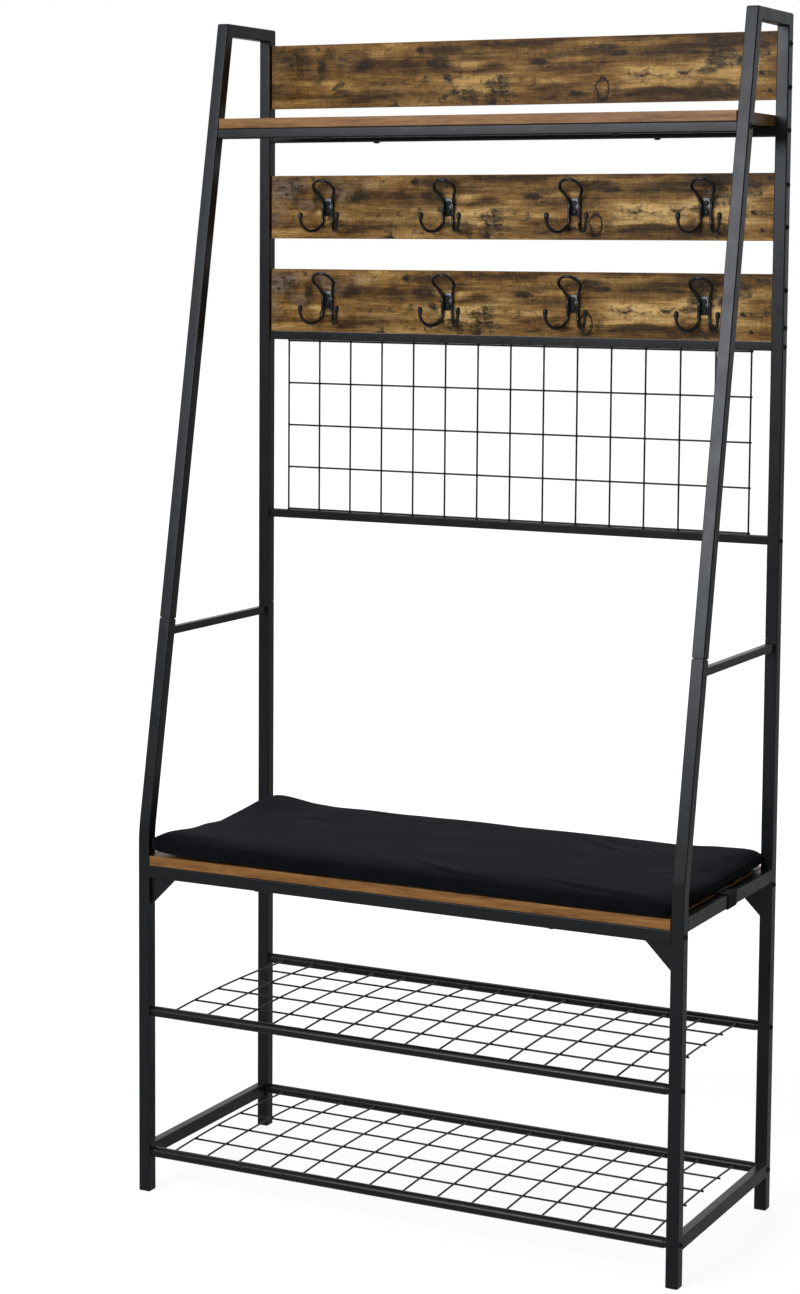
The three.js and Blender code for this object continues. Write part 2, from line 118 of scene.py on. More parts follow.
def make_camera():
    azimuth, pitch, roll = (math.radians(v) for v in CAMERA_ANGLES)
    forward = Vector((
        -math.sin(azimuth) * math.cos(pitch),
        math.cos(azimuth) * math.cos(pitch),
        -math.sin(pitch),
    ))
    level = Vector((math.cos(azimuth), math.sin(azimuth), 0))
    upright = level.cross(forward)
    right = math.cos(roll) * level + math.sin(roll) * upright
    up = -math.sin(roll) * level + math.cos(roll) * upright
    camera = add_object("camera", bpy.data.cameras.new("camera"))
    turn = Matrix((right, up, -forward)).transposed().to_4x4()
    camera.matrix_world = Matrix.Translation(CAMERA_SPOT) @ turn
    camera.data.lens = CAMERA_LENS
    camera.data.sensor_width = 36
    camera.data.shift_y = CAMERA_SHIFT
    camera.data.clip_end = 60
    bpy.context.scene.camera = camera


# ---- node material helpers ----
class Shader:
    """One material and short calls for the nodes in it."""

    def __init__(self, name, roughness=0.5, specular=0.5):
        self.material = bpy.data.materials.new(name)
        self.material.use_nodes = True
        self.tree = self.material.node_tree
        self.principled = self.tree.nodes["Principled BSDF"]
        self.principled.inputs["Roughness"].default_value = roughness
        self.principled.inputs["Specular IOR Level"].default_value = specular
        self.coordinates = self.tree.nodes.new("ShaderNodeTexCoord").outputs["Object"]

    def add(self, kind, **settings):
        node = self.tree.nodes.new(kind)
        for key, value in settings.items():
            setattr(node, key, value)
        return node

    def connect(self, value, socket):
        if isinstance(value, bpy.types.NodeSocket):
            self.tree.links.new(value, socket)
        else:
            socket.default_value = value

    def math(self, operation, first, second=0.0, clamp=False):
        node = self.add("ShaderNodeMath", operation=operation, use_clamp=clamp)
        self.connect(first, node.inputs[0])
        self.connect(second, node.inputs[1])
        return node.outputs[0]

    def mapping(self, scale=(1, 1, 1), move=(0, 0, 0), source=None):
        node = self.add("ShaderNodeMapping")
        self.connect(source or self.coordinates, node.inputs["Vector"])
        node.inputs["Scale"].default_value = scale
        node.inputs["Location"].default_value = move
        return node.outputs["Vector"]

    def noise(self, scale, detail=2.0, roughness=0.5, vector=None, colour=False):
        node = self.add("ShaderNodeTexNoise")
        self.connect(vector or self.coordinates, node.inputs["Vector"])
        node.inputs["Scale"].default_value = scale
        node.inputs["Detail"].default_value = detail
        node.inputs["Roughness"].default_value = roughness
        return node.outputs["Color" if colour else "Fac"]

    def bands(self, direction, scale, distortion, detail=2.0):
        node = self.add("ShaderNodeTexWave", wave_type="BANDS", bands_direction=direction)
        self.connect(self.coordinates, node.inputs["Vector"])
        node.inputs["Scale"].default_value = scale
        node.inputs["Distortion"].default_value = distortion
        node.inputs["Detail"].default_value = detail
        return node.outputs["Fac"]

    def span(self, value, low, high, to_low=0.0, to_high=1.0, smooth=False):
        node = self.add("ShaderNodeMapRange")
        if smooth:
            node.interpolation_type = "SMOOTHSTEP"
        for socket, number in zip(node.inputs, (value, low, high, to_low, to_high)):
            self.connect(number, socket)
        return node.outputs["Result"]

    def ramp(self, value, stops):
        node = self.add("ShaderNodeValToRGB")
        self.connect(value, node.inputs["Fac"])
        elements = node.color_ramp.elements
        while len(elements) < len(stops):
            elements.new(0.5)
        for element, (position, colour) in zip(elements, stops):
            element.position = position
            element.color = (*colour, 1)
        return node.outputs["Color"]

    def mix(self, factor, first, second, blend="MIX"):
        node = self.add("ShaderNodeMix", data_type="RGBA", blend_type=blend)
        self.connect(factor, node.inputs["Factor"])
        for value, socket in ((first, node.inputs[6]), (second, node.inputs[7])):
            self.connect((*value, 1) if isinstance(value, tuple) else value, socket)
        return node.outputs[2]

    def weigh(self, *terms):
        """Sum of sockets, each times its own weight."""
        total = 0.0
        for socket, weight in terms:
            total = self.math("ADD", total, self.math("MULTIPLY", socket, weight))
        return total

    def vector_math(self, operation, *values):
        node = self.add("ShaderNodeVectorMath", operation=operation)
        for value, socket in zip(values, node.inputs):
            self.connect(value, socket)
        return node

    def length(self, vector):
        return self.vector_math("LENGTH", vector).outputs["Value"]

    def nudge(self, vector, colour, reach):
        """A vector moved by a noise colour, up to half of reach each way."""
        offset = self.vector_math("SUBTRACT", colour, (0.5, 0.5, 0.5)).outputs[0]
        return self.vector_math("MULTIPLY_ADD", offset, reach, vector).outputs[0]

    def flat_print(self, centre, swap):
        """Coordinates in the plane of a print, from its centre: across as X and up as Z."""
        placed = self.mapping(move=tuple(-v for v in centre))
        if not swap:
            return self.vector_math("MULTIPLY", placed, (1, 0, 1)).outputs[0]
        parts = self.add("ShaderNodeSeparateXYZ")
        self.connect(placed, parts.inputs[0])
        joined = self.add("ShaderNodeCombineXYZ")
        self.connect(parts.outputs[0], joined.inputs[0])
        self.connect(parts.outputs[1], joined.inputs[2])
        return joined.outputs[0]

    def bump(self, height, distance, strength=1.0):
        node = self.add("ShaderNodeBump")
        self.connect(height, node.inputs["Height"])
        node.inputs["Distance"].default_value = distance
        node.inputs["Strength"].default_value = strength
        return node.outputs["Normal"]

    def finish(self, colour, roughness=None, normal=None):
        for value, name in ((colour, "Base Color"), (roughness, "Roughness"), (normal, "Normal")):
            if value is not None:
                self.connect(value, self.principled.inputs[name])
        return self.material


# ---- materials ----
def powder_coat(name, dark, light, roughness=0.29):
    """Black powder coat: fine orange peel, a faint cloudiness and a slightly uneven gloss."""
    s = Shader(name, specular=0.32)
    cloud = s.noise(9, detail=3)
    speck = s.noise(1400, detail=1)
    colour = s.ramp(s.weigh((cloud, 0.7), (speck, 0.3)), ((0.3, dark), (0.7, light)))
    gloss = s.span(s.noise(35, detail=4), 0.3, 0.7, roughness - 0.04, roughness + 0.05)
    peel = s.weigh((s.noise(900), 1.0), (s.noise(260), 0.8))
    return s.finish(colour, gloss, s.bump(peel, 0.00006, 0.55))


def hook_enamel():
    s = Shader("hook_enamel")
    black, wear_and_painted_sheen = (0.0035, 0.0035, 0.004), (0.007, 0.007, 0.0078)
    colour = s.ramp(s.noise(60, detail=3), ((0.3, black), (0.7, wear_and_painted_sheen)))
    gloss = s.span(s.noise(180, detail=3), 0.3, 0.7, 0.17, 0.27)
    return s.finish(colour, gloss, s.bump(s.noise(500), 0.00008, 0.5))


def moulded_plastic():
    s = Shader("black_plastic", specular=0.4)
    colour = s.ramp(s.noise(80), ((0.3, (0.009, 0.009, 0.010)), (0.7, (0.014, 0.014, 0.015))))
    gloss = s.span(s.noise(300), 0.3, 0.7, 0.5, 0.62)
    return s.finish(colour, gloss, s.bump(s.noise(2200), 0.00005, 0.5))


# Marks on the laminate, in mm from the board's middle: x, z, half length, half height and
# strength. Dark knots and smears and lighter bands are printed; the greyer patches near the left
# end are painted sheen, a reflection of the light painted into the colour.
KNOTS = (
    (-384, 26, 34, 20, 0.85), (-372, 6, 12, 10, 0.55), (-334, 12, 13, 15, 0.9),
    (-318, 34, 20, 10, 0.7), (-264, 14, 26, 13, 0.9), (-300, 12, 18, 12, 0.55),
    (-336, -4, 12, 10, 0.6), (-290, -29, 9, 4, 1.0), (-270, -40, 30, 6, 0.7),
    (-215, -30, 62, 15, 0.62), (-158, 37, 13, 9, 1.0), (-118, 36, 44, 10, 0.75),
    (-120, 14, 30, 18, 0.85), (-70, 26, 34, 12, 0.6), (-112, -7, 13, 7, 1.0),
    (-170, 10, 26, 12, 0.45), (-10, -29, 6, 4, 1.0), (44, 14, 24, 10, 1.0),
    (68, 24, 34, 7, 0.7), (20, 42, 70, 6, 0.6), (-40, 6, 30, 9, 0.5),
    (104, -36, 18, 7, 1.0), (150, 30, 44, 13, 0.85), (176, 24, 24, 8, 0.95),
    (250, 26, 70, 14, 0.62), (330, 36, 60, 9, 0.6), (90, 4, 80, 6, 0.5),
    (230, -34, 50, 6, 0.8), (330, -41, 60, 7, 0.85), (172, -30, 14, 12, 0.6),
    (408, -11, 7, 4, 1.0), (413, -35, 7, 4, 1.0),
)
GOLD_BANDS = (
    (285, -9, 120, 11, 1.0), (260, -24, 90, 6, 0.9), (-60, -12, 70, 8, 0.5),
    (-80, 12, 36, 8, 0.8), (10, 6, 36, 8, 0.5), (-340, -16, 80, 12, 0.6),
    (-30, -28, 80, 8, 0.5), (215, 0, 40, 7, 0.8), (60, -14, 60, 7, 0.45),
    (330, 10, 60, 18, 0.45), (392, -14, 34, 26, 0.45),
)
# Painted sheen: greyer patches near the left end that stand in for the reflection of the light.
PAINTED_SHEEN_PATCHES = (
    (-398, 26, 24, 26, 0.8), (-366, 36, 34, 13, 0.6), (-402, -14, 16, 22, 0.6),
    (-352, 2, 20, 12, 0.5), (-296, 26, 24, 22, 0.6), (-250, 34, 26, 12, 0.45),
)
RING_KNOT = (148, -29, 12, 19)  # an open dark ring: x, z, half width, half height


def laminate(name, centre, swap=False, tint=None, wear_and_painted_sheen=0.0):
    """Rustic printed laminate with its grain along X. The print lies in XZ, or in XY with swap.

    tint multiplies its colour, and the last argument sets the strength of the grey patches of painted
    sheen, a reflection of the light painted into the colour.
    """
    s = Shader(name, specular=0.08)
    flat = s.flat_print(centre, swap)

    def layer(scale, detail, roughness, stretch, source):
        vector = s.mapping((stretch[0], 1, stretch[1]), source=source)
        return s.noise(scale, detail=detail, roughness=roughness, vector=vector)

    wide, close = s.mapping((0.6, 1, 1.2), source=flat), s.mapping((0.5, 1, 1.6), source=flat)
    warp = s.noise(30, detail=3, roughness=0.6, vector=wide, colour=True)
    bent = s.nudge(flat, warp, (0.045, 0, 0.018))
    rough = s.noise(150, detail=4, roughness=0.8, vector=close, colour=True)
    ragged = s.nudge(bent, rough, (0.012, 0, 0.007))

    def reach(x, z, half_x, half_z, source):
        """Distance from a mark's centre, where its outline is 1."""
        stretch = (1 / (half_x * MM), 0, 1 / (half_z * MM))
        return s.length(s.mapping(stretch, (-x / half_x, 0, -z / half_z), source))

    def oval(mark, low, high):
        return s.span(reach(*mark[:4], ragged), low, high, mark[4], 0.0, smooth=True)

    def strongest(marks, low, high, start=0.0):
        for mark in marks:
            start = s.math("MAXIMUM", start, oval(mark, low, high))
        return start

    clouds = layer(15, 6, 0.6, (0.30, 2.2), bent)
    streaks = layer(60, 5, 0.72, (0.10, 2.4), flat)
    lines = layer(190, 4, 0.75, (0.05, 2.2), flat)
    chatter = layer(140, 4, 0.75, (1.5, 0.32), flat)
    mottle = layer(34, 7, 0.75, (0.75, 1.35), ragged)
    speckle = layer(330, 3, 0.8, (0.6, 1.2), flat)
    tone = s.weigh((clouds, 0.36), (streaks, 0.18), (lines, 0.10),
                   (chatter, 0.06), (mottle, 0.22), (speckle, 0.08))
    for band in GOLD_BANDS:
        tone = s.math("ADD", tone, s.math("MULTIPLY", oval(band, 0.1, 1.4), 0.095))
    base = s.ramp(tone, (
        (0.422, (0.022, 0.010, 0.0032)),
        (0.458, (0.078, 0.037, 0.0098)),
        (0.497, (0.180, 0.092, 0.0250)),
        (0.533, (0.315, 0.176, 0.0520)),
        (0.584, (0.580, 0.370, 0.1380)),
    ))

    patches = layer(9, 3, 0.5, (0.5, 1.2), bent)
    shade = s.math("ADD", mottle, s.math("MULTIPLY", s.math("SUBTRACT", patches, 0.5), 0.5))
    shade = strongest(KNOTS, 0.3, 1.2, s.span(shade, 0.49, 0.64, 0.0, 0.90, smooth=True))
    grit = s.weigh((layer(120, 5, 0.8, (0.7, 1.3), ragged), 0.7), (chatter, 0.15), (lines, 0.15))
    shade = s.math("MULTIPLY", shade, s.span(grit, 0.42, 0.60, 1.22, 0.68), clamp=True)
    colour = s.mix(shade, base, (0.019, 0.0125, 0.0068))
    # Painted sheen: grey patches near the left end that paint the light's reflection into the colour.
    if wear_and_painted_sheen:
        sheen_mask = strongest(PAINTED_SHEEN_PATCHES, 0.2, 1.25)
        sheen_mask = s.math("MULTIPLY", sheen_mask, s.span(grit, 0.44, 0.57, 0.05, wear_and_painted_sheen))
        colour = s.mix(sheen_mask, colour, (0.270, 0.200, 0.150))

    loose = s.nudge(flat, warp, (0.020, 0, 0.016))
    offset = s.math("ABSOLUTE", s.math("SUBTRACT", reach(*RING_KNOT, loose), 0.86))
    colour = s.mix(s.span(offset, 0.05, 0.24, 0.95, 0.0, smooth=True), colour, (0.020, 0.012, 0.006))

    pores = layer(260, 3, 0.8, (0.045, 1.7), flat)
    colour = s.mix(s.span(pores, 0.55, 0.66, 0.0, 0.6), colour, (0.034, 0.020, 0.009))
    if tint:
        colour = s.mix(1.0, colour, tint, blend="MULTIPLY")
    relief = s.weigh((streaks, 0.6), (pores, -0.5))
    return s.finish(colour, s.span(tone, 0.40, 0.60, 0.38, 0.30), s.bump(relief, 0.00022, 0.5))


def edge_band():
    """Plain brown edge tape with short fine grain."""
    s = Shader("edge_band", specular=0.26)
    streak = s.noise(60, detail=5, roughness=0.65, vector=s.mapping((0.16, 1, 2.4)))
    fine = s.noise(420, detail=3, roughness=0.7, vector=s.mapping((0.09, 1, 1.2)))
    colour = s.ramp(s.weigh((streak, 0.55), (fine, 0.45)), (
        (0.34, (0.085, 0.033, 0.008)),
        (0.47, (0.190, 0.084, 0.022)),
        (0.56, (0.245, 0.113, 0.032)),
        (0.68, (0.320, 0.160, 0.053)),
    ))
    return s.finish(colour, s.span(streak, 0.35, 0.65, 0.40, 0.30), s.bump(fine, 0.0001, 0.4))


def cover_fabric():
    """Black cover cloth: a close plain weave, soft sheen and a faint unevenness."""
    s = Shader("cover_fabric", roughness=0.9, specular=0.05)
    sheen = {"Weight": 0.03, "Roughness": 0.5, "Tint": (0.55, 0.62, 0.8, 1)}
    for name, value in sheen.items():
        s.principled.inputs["Sheen " + name].default_value = value
    weave = s.math("MULTIPLY", s.bands("X", 420, 0.6, 1), s.bands("Y", 420, 0.6, 1))
    lint = s.noise(16, detail=5, roughness=0.6)
    tone = s.weigh((lint, 0.75), (weave, 0.25))
    colour = s.ramp(tone, ((0.28, (0.0026, 0.0029, 0.0038)), (0.62, (0.0048, 0.0053, 0.0068))))
    return s.finish(colour, None, s.bump(weave, 0.00012, 0.5))


def webbing():
    s = Shader("webbing", roughness=0.8, specular=0.25)
    rib = s.bands("Y", 160, 0.4)
    colour = s.ramp(rib, ((0.2, (0.006, 0.006, 0.007)), (0.9, (0.013, 0.013, 0.015))))
    return s.finish(colour, None, s.bump(rib, 0.0002, 0.6))


# ---- mesh helpers ----
def mesh_object(name, shape, material=None, weighted=True):
    """Smooth-shaded object from (vertices, faces), sharp where faces meet at more than 42 degrees."""
    vertices, faces = shape
    mesh = bpy.data.meshes.new(name)
    mesh.from_pydata([tuple(v) for v in vertices], [], faces)
    bm = bmesh.new()
    bm.from_mesh(mesh)
    bmesh.ops.remove_doubles(bm, verts=bm.verts, dist=1e-7)
    bmesh.ops.recalc_face_normals(bm, faces=bm.faces)
    bm.to_mesh(mesh)
    bm.free()
    obj = add_object(name, mesh)
    if material:
        mesh.materials.append(material)
    mesh.polygons.foreach_set("use_smooth", [True] * len(mesh.polygons))
    mesh.set_sharp_from_angle(angle=math.radians(42))
    if weighted:
        obj.modifiers.new("weighted", "WEIGHTED_NORMAL").keep_sharp = True
    return obj


def place(obj, slot, *nodes):
    """Last step for a piece: it rides on the one body and stands for its CAD nodes."""
    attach(obj, "root")
    if nodes:
        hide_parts(*nodes)


def piece(name, shape, material, slot, *nodes, weighted=True):
    place(mesh_object(name, shape, material, weighted), slot, *nodes)


def rounded_section(width, height, radius, steps=4):
    """Points of a rounded rectangle, anticlockwise, as (across, up)."""
    points = []
    for index, (sx, sy) in enumerate(((1, 1), (-1, 1), (-1, -1), (1, -1))):
        for step in range(steps + 1):
            angle = math.pi / 2 * (index + step / steps)
            points.append((
                sx * (width / 2 - radius) + radius * math.cos(angle),
                sy * (height / 2 - radius) + radius * math.sin(angle),
            ))
    return points


def skin(rings):
    """Vertices and faces of a closed skin over a list of rings."""
    count = len(rings[0])
    vertices = [v for ring in rings for v in ring]
    faces = []
    for i in range(len(rings) - 1):
        for j in range(count):
            k = (j + 1) % count
            faces.append((i * count + j, i * count + k, (i + 1) * count + k, (i + 1) * count + j))
    faces.append(tuple(range(count))[::-1])
    last = (len(rings) - 1) * count
    faces.append(tuple(range(last, last + count)))
    return vertices, faces


def merge(parts):
    vertices, faces = [], []
    for part_vertices, part_faces in parts:
        start = len(vertices)
        vertices.extend(part_vertices)
        faces.extend(tuple(start + i for i in face) for face in part_faces)
    return vertices, faces


def offset_line(corners, radii, side, depth, steps=10):
    """Points of a line offset from a path of corners in a plane, with its corners rounded.

    radii holds (inner, outer) fillet radii for each inner corner of the path; depth is the
    section's size across the path, and side the offset, positive to the left.
    """
    corners = [Vector(c) for c in corners]
    heading = [(b - a).normalized() for a, b in zip(corners, corners[1:])]
    left = [Vector((-d.y, d.x)) for d in heading]
    line = [corners[0] + left[0] * side]
    for i, (inner, outer) in enumerate(radii):
        first, second = heading[i], heading[i + 1]
        turn = math.atan2(first.x * second.y - first.y * second.x, first.dot(second))
        sign = 1 if turn > 0 else -1
        share = (depth / 2 - sign * side) / depth
        radius = inner + (outer - inner) * share
        corner = corners[i + 1] + (left[i] + left[i + 1]) * (side / (1 + left[i].dot(left[i + 1])))
        start = corner - first * radius * math.tan(abs(turn) / 2)
        centre = start + left[i] * radius * sign
        for step in range(steps + 1):
            angle = turn * step / steps
            spoke = -left[i] * sign
            line.append(centre + radius * Vector((
                spoke.x * math.cos(angle) - spoke.y * math.sin(angle),
                spoke.x * math.sin(angle) + spoke.y * math.cos(angle),
            )))
    line.append(corners[-1] + left[-1] * side)
    return line


def side_tube(x, corners, radii=()):
    """Square tube with open ends, whose centre line lies in the YZ plane at x."""
    section = rounded_section(TUBE, TUBE, CORNER)
    lines = [offset_line(corners, radii, across, TUBE) for across, _ in section]
    rings = []
    for stations in zip(*lines):
        rings.append([Vector((x + up, spot.x, spot.y)) for spot, (_, up) in zip(stations, section)])
    return skin(lip(lip(rings, 0), 1))


def lip(rings, end):
    """Turns one end of a tube inwards, to show its wall."""
    outer = rings[-1] if end else rings[0]
    following = rings[-2] if end else rings[1]
    centre = sum(outer, Vector()) / len(outer)
    inward = (sum(following, Vector()) / len(following) - centre).normalized()
    scale = 1 - 2 * TUBE_WALL / TUBE
    inner = [centre + (v - centre) * scale for v in outer]
    deep = [v + inward * LIP_DEPTH for v in inner]
    return rings + [inner, deep] if end else [deep, inner] + rings


def bar(start, end, width, height, radius=1.2 * MM):
    """Straight level bar with rounded edges. Its width is level and its height is upright."""
    start, end = Vector(start), Vector(end)
    along = (end - start).normalized()
    across = along.cross(Vector((0, 0, 1))).normalized()
    up = across.cross(along)
    section = rounded_section(width, height, radius)
    return skin([[p + across * a + up * b for a, b in section] for p in (start, end)])


def rod(points, radius, sides=12, radii=None):
    """Round rod along points, or with a radius of its own at each point. Its section never twists."""
    points = [Vector(p) for p in points]
    rings, normal = [], None
    for i, point in enumerate(points):
        along = (points[min(i + 1, len(points) - 1)] - points[max(i - 1, 0)]).normalized()
        if normal is None:
            normal = along.orthogonal().normalized()
        else:
            normal = (normal - along * normal.dot(along)).normalized()
        other = along.cross(normal)
        size = radii[i] if radii else radius
        rings.append([
            point + size * (math.cos(a) * normal + math.sin(a) * other)
            for a in (2 * math.pi * k / sides for k in range(sides))
        ])
    return skin(rings)


def blob(centre, size, seed=0, sides=10, rows=6):
    """Small uneven ellipsoid, such as a weld nugget."""
    centre = Vector(centre)
    rings = []
    for row in range(1, rows):
        phi = math.pi * row / rows
        ring = []
        for k in range(sides):
            theta = 2 * math.pi * k / sides
            direction = Vector((
                math.sin(phi) * math.cos(theta), math.sin(phi) * math.sin(theta), math.cos(phi)))
            lump = 1 + 0.18 * noise.noise(direction * 1.7 + Vector((seed * 3.1, seed * 1.7, seed)))
            ring.append(centre + Vector(direction[i] * size[i] * lump for i in range(3)))
        rings.append(ring)
    return skin(rings)


def dome(centre, axis, radius, height, recess=0.5, sides=28):
    """Round screw head on a face: a flat edge, a dome and a hexagon socket."""
    axis = Vector(axis).normalized()
    across = axis.orthogonal().normalized()
    other = axis.cross(across)
    centre = Vector(centre)
    profile = [(1.0, -0.05), (1.0, 0.22)]
    profile += [(math.cos(a), 0.22 + 0.78 * math.sin(a)) for a in np.linspace(0.2, 1.05, 6)]
    spokes = []
    for k in range(sides):
        angle = 2 * math.pi * k / sides
        spokes.append((angle, math.cos(angle) * across + math.sin(angle) * other))
    rings = []
    for share, rise in profile:
        rings.append([centre + axis * rise * height + radius * share * spoke for _, spoke in spokes])
    for rise in (0.92, 0.92 - recess):
        rings.append([
            centre + axis * rise * height + hexagon(angle) * 0.46 * radius * spoke
            for angle, spoke in spokes
        ])
    return skin(rings)


def hexagon(angle):
    """Radius of a regular hexagon of unit inner radius, at an angle."""
    return 1 / math.cos((angle + math.pi / 6) % (math.pi / 3) - math.pi / 6)


def bead(start, end, radius, seed):
    """Uneven weld bead along a short line."""
    start, end = Vector(start), Vector(end)
    steps = max(6, int((end - start).length / (1.3 * MM)))
    points, radii = [], []
    for i in range(steps + 1):
        share = i / steps
        ripple = noise.noise(Vector((share * steps * 0.9, seed * 5.3, 0)))
        points.append(start.lerp(end, share))
        radii.append(radius * (0.85 + 0.35 * ripple) * min(1, 0.4 + 4 * min(share, 1 - share)))
    return rod(points, radius, 10, radii)


# ---- side frames ----
def lower_front_leg(x):
    bend = (-POST_Y, BEND_Z - (LEAN_DEPTH - TUBE) / 2 / SLOPE)
    top = FRONT_SEAM_Z - FRONT_SEAM_GAP / 2 * math.cos(LEAN)
    radii = [(BEND_RADIUS - TUBE / 2, BEND_RADIUS + TUBE / 2)]
    return side_tube(x, [(-POST_Y, FOOT_TOP), bend, (front_centre(top), top)], radii)


def upper_frame(x):
    """Front post, top rail and rear post, mitred and ground smooth at the two corners."""
    foot = FRONT_SEAM_Z + FRONT_SEAM_GAP / 2 * math.cos(LEAN)
    rail = TOP_Z - TUBE / 2
    corners = [
        (front_centre(foot), foot),
        (front_centre(rail), rail),
        (POST_Y, rail),
        (POST_Y, REAR_SEAM[1]),
    ]
    return side_tube(x, corners, [(MITRE_INNER, MITRE_OUTER)] * 2)


def rail_welds(x, z, width, height, seed):
    """Beads round both ends of a side rail, where it meets the legs."""
    beads = []
    for end, y in enumerate((-INNER_Y, INNER_Y)):
        half_w, half_h = width / 2 - 1 * MM, height / 2 - 0.2 * MM
        for k, level in enumerate((z + half_h, z - half_h)):
            beads.append(bead((x - half_w, y, level), (x + half_w, y, level), 1.1 * MM, seed + end * 2 + k))
    return beads


def arm_welds(x, seed):
    """Beads on all four sides of both ends of an arm, and two lumps at its rear end."""
    beads = []
    half_w, half_h = 5 * MM, 6 * MM
    front = front_face(ARM_Z) + LEAN_DEPTH
    for y in (front, INNER_Y):
        for sign in (-1, 1):
            side, level = x + sign * half_w, ARM_Z + sign * half_h
            beads.append(bead((side, y, ARM_Z - half_h), (side, y, ARM_Z + half_h), 1.2 * MM, seed + sign))
            beads.append(bead((x - half_w, y, level), (x + half_w, y, level), 1.3 * MM, seed + 3 * sign))
    upper, lower = (3.4 * MM, 1.8 * MM, 2.0 * MM), (2.6 * MM, 1.6 * MM, 2.2 * MM)
    beads.append(blob((x - 4 * MM, INNER_Y - 0.6 * MM, ARM_Z + 7.4 * MM), upper, seed))
    beads.append(blob((x + 4.5 * MM, INNER_Y - 0.5 * MM, ARM_Z - 6.8 * MM), lower, seed + 9))
    return beads


# Heights of the bolts on the outer faces of the rear and front posts, mm.
REAR_BOLT_Z = (1755.7, 1692.4, 1630, 1550.4, 1488.2, 1395.7, 1340, 1312, 1023.5, 503, 283.5, 62)
FRONT_BOLT_Z = (1629, 502.6, 283.7, 62.2)
BOLT_HEAD = (4.3 * MM, 2.7 * MM)


def side_bolts(sign):
    spots = [(POST_Y, z * MM) for z in REAR_BOLT_Z]
    spots += [(front_centre(z * MM), z * MM) for z in FRONT_BOLT_Z]
    return [dome((sign * HALF_W, y, z), (sign, 0, 0), *BOLT_HEAD) for y, z in spots]


def build_foot(x, y):
    """Moulded foot: a soft-edged flange under the tube and a plug inside it."""
    section = rounded_section(TUBE, TUBE, CORNER)
    shrink = rounded_section(TUBE - 2 * MM, TUBE - 2 * MM, CORNER)
    plug = rounded_section(TUBE - 3.4 * MM, TUBE - 3.4 * MM, 1 * MM)
    levels = ((shrink, 0), (section, 0.8), (section, 2.4), (plug, 2.5), (plug, 13.5))
    return skin([[Vector((x + a, y + b, z * MM)) for a, b in ring] for ring, z in levels])


def build_side_frames(coat, plastic):
    for number, (side, sign) in enumerate(SIDES):
        x = sign * POST_X
        prefix = side + "_"
        piece(prefix + "front_leg_tube", lower_front_leg(x), coat, "frame", prefix + "front_leg")
        rear = side_tube(x, [(POST_Y, FOOT_TOP), (POST_Y, REAR_SEAM[0])])
        piece(prefix + "rear_leg_tube", rear, coat, "frame", prefix + "rear_leg")
        piece(prefix + "upper_frame", upper_frame(x), coat, "frame",
              prefix + "upper_front_post", prefix + "top_rail", prefix + "upper_rear_post")

        arm_front = front_face(ARM_Z) + LEAN_DEPTH - 1 * MM
        base_x = sign * (HALF_W - BASE_RAIL[0] / 2)
        arm = bar((x, arm_front, ARM_Z), (x, INNER_Y, ARM_Z), *ARM_BAR)
        seat = bar((x, -INNER_Y, SEAT_RAIL_Z), (x, INNER_Y, SEAT_RAIL_Z), TUBE, TUBE, CORNER)
        base = bar((base_x, -INNER_Y, BASE_Z), (base_x, INNER_Y, BASE_Z), *BASE_RAIL, CORNER)
        piece(prefix + "arm", arm, coat, "frame", prefix + "arm_bar")
        piece(prefix + "seat_side_rail", seat, coat, "frame", prefix + "seat_rail")
        piece(prefix + "base_side_rail", base, coat, "frame", prefix + "base_rail")

        welds = rail_welds(x, SEAT_RAIL_Z, TUBE, TUBE, 11 + number)
        welds += rail_welds(base_x, BASE_Z, *BASE_RAIL, 31 + number)
        welds += arm_welds(x, 51 + number)
        piece(prefix + "weld_beads", merge(welds), coat, "frame", weighted=False)
        piece(prefix + "bolt_heads", merge(side_bolts(sign)), coat, "frame", weighted=False)
        for end, y in (("front", -POST_Y), ("rear", POST_Y)):
            foot = prefix + end + "_foot"
            piece(foot + "_cap", build_foot(x, y), plastic, "plastic", foot)


# ---- rails, shelf tubes and wire panels ----
CROSS_BARS = (
    ("bench_front_rail", CORNER), ("bench_rear_rail", CORNER),
    ("hat_shelf_front_rail", 2.4 * MM), ("hat_shelf_rear_rail", 2.4 * MM),
    ("grid_upper_crossbar", 1.2 * MM), ("grid_lower_crossbar", 1.2 * MM),
)


def build_cross_bars(coat):
    """Square tubes between the side frames, each with its own corner radius."""
    for node, radius in CROSS_BARS:
        low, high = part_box(node)
        middle, size = (low + high) / 2, high - low
        start, end = (Vector((x, middle.y, middle.z)) for x in (-INNER_X, INNER_X))
        piece(node + "_tube", bar(start, end, size.y, size.z, radius), coat, "frame", node)


def shelf_tube(node, name, coat):
    """Round tube whose ends are pressed in slightly before they meet the legs."""
    low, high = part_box(node)
    middle = (low + high) / 2
    radius = (high.z - low.z) / 2
    shape = ((0, 0.86), (2.5, 0.86), (4.5, 0.93), (7, 1.0))
    ends = [(-INNER_X + x * MM, radius * share) for x, share in shape]
    stations = ends + [(-x, r) for x, r in reversed(ends)]
    points = [(x, middle.y, middle.z) for x, _ in stations]
    piece(name, rod(points, radius, 32, [r for _, r in stations]), coat, "frame", node)


WIRE = 1.5 * MM
WIRE_COUNT = 15
WIRE_PITCH = 56.23 * MM
LONG_WIRES = (-105.2, -35.1, 35.1, 105.2)
GRID_ROWS = 5
CAMBER = 5 * MM


def wire_x(i):
    return (i - (WIRE_COUNT - 1) / 2) * WIRE_PITCH


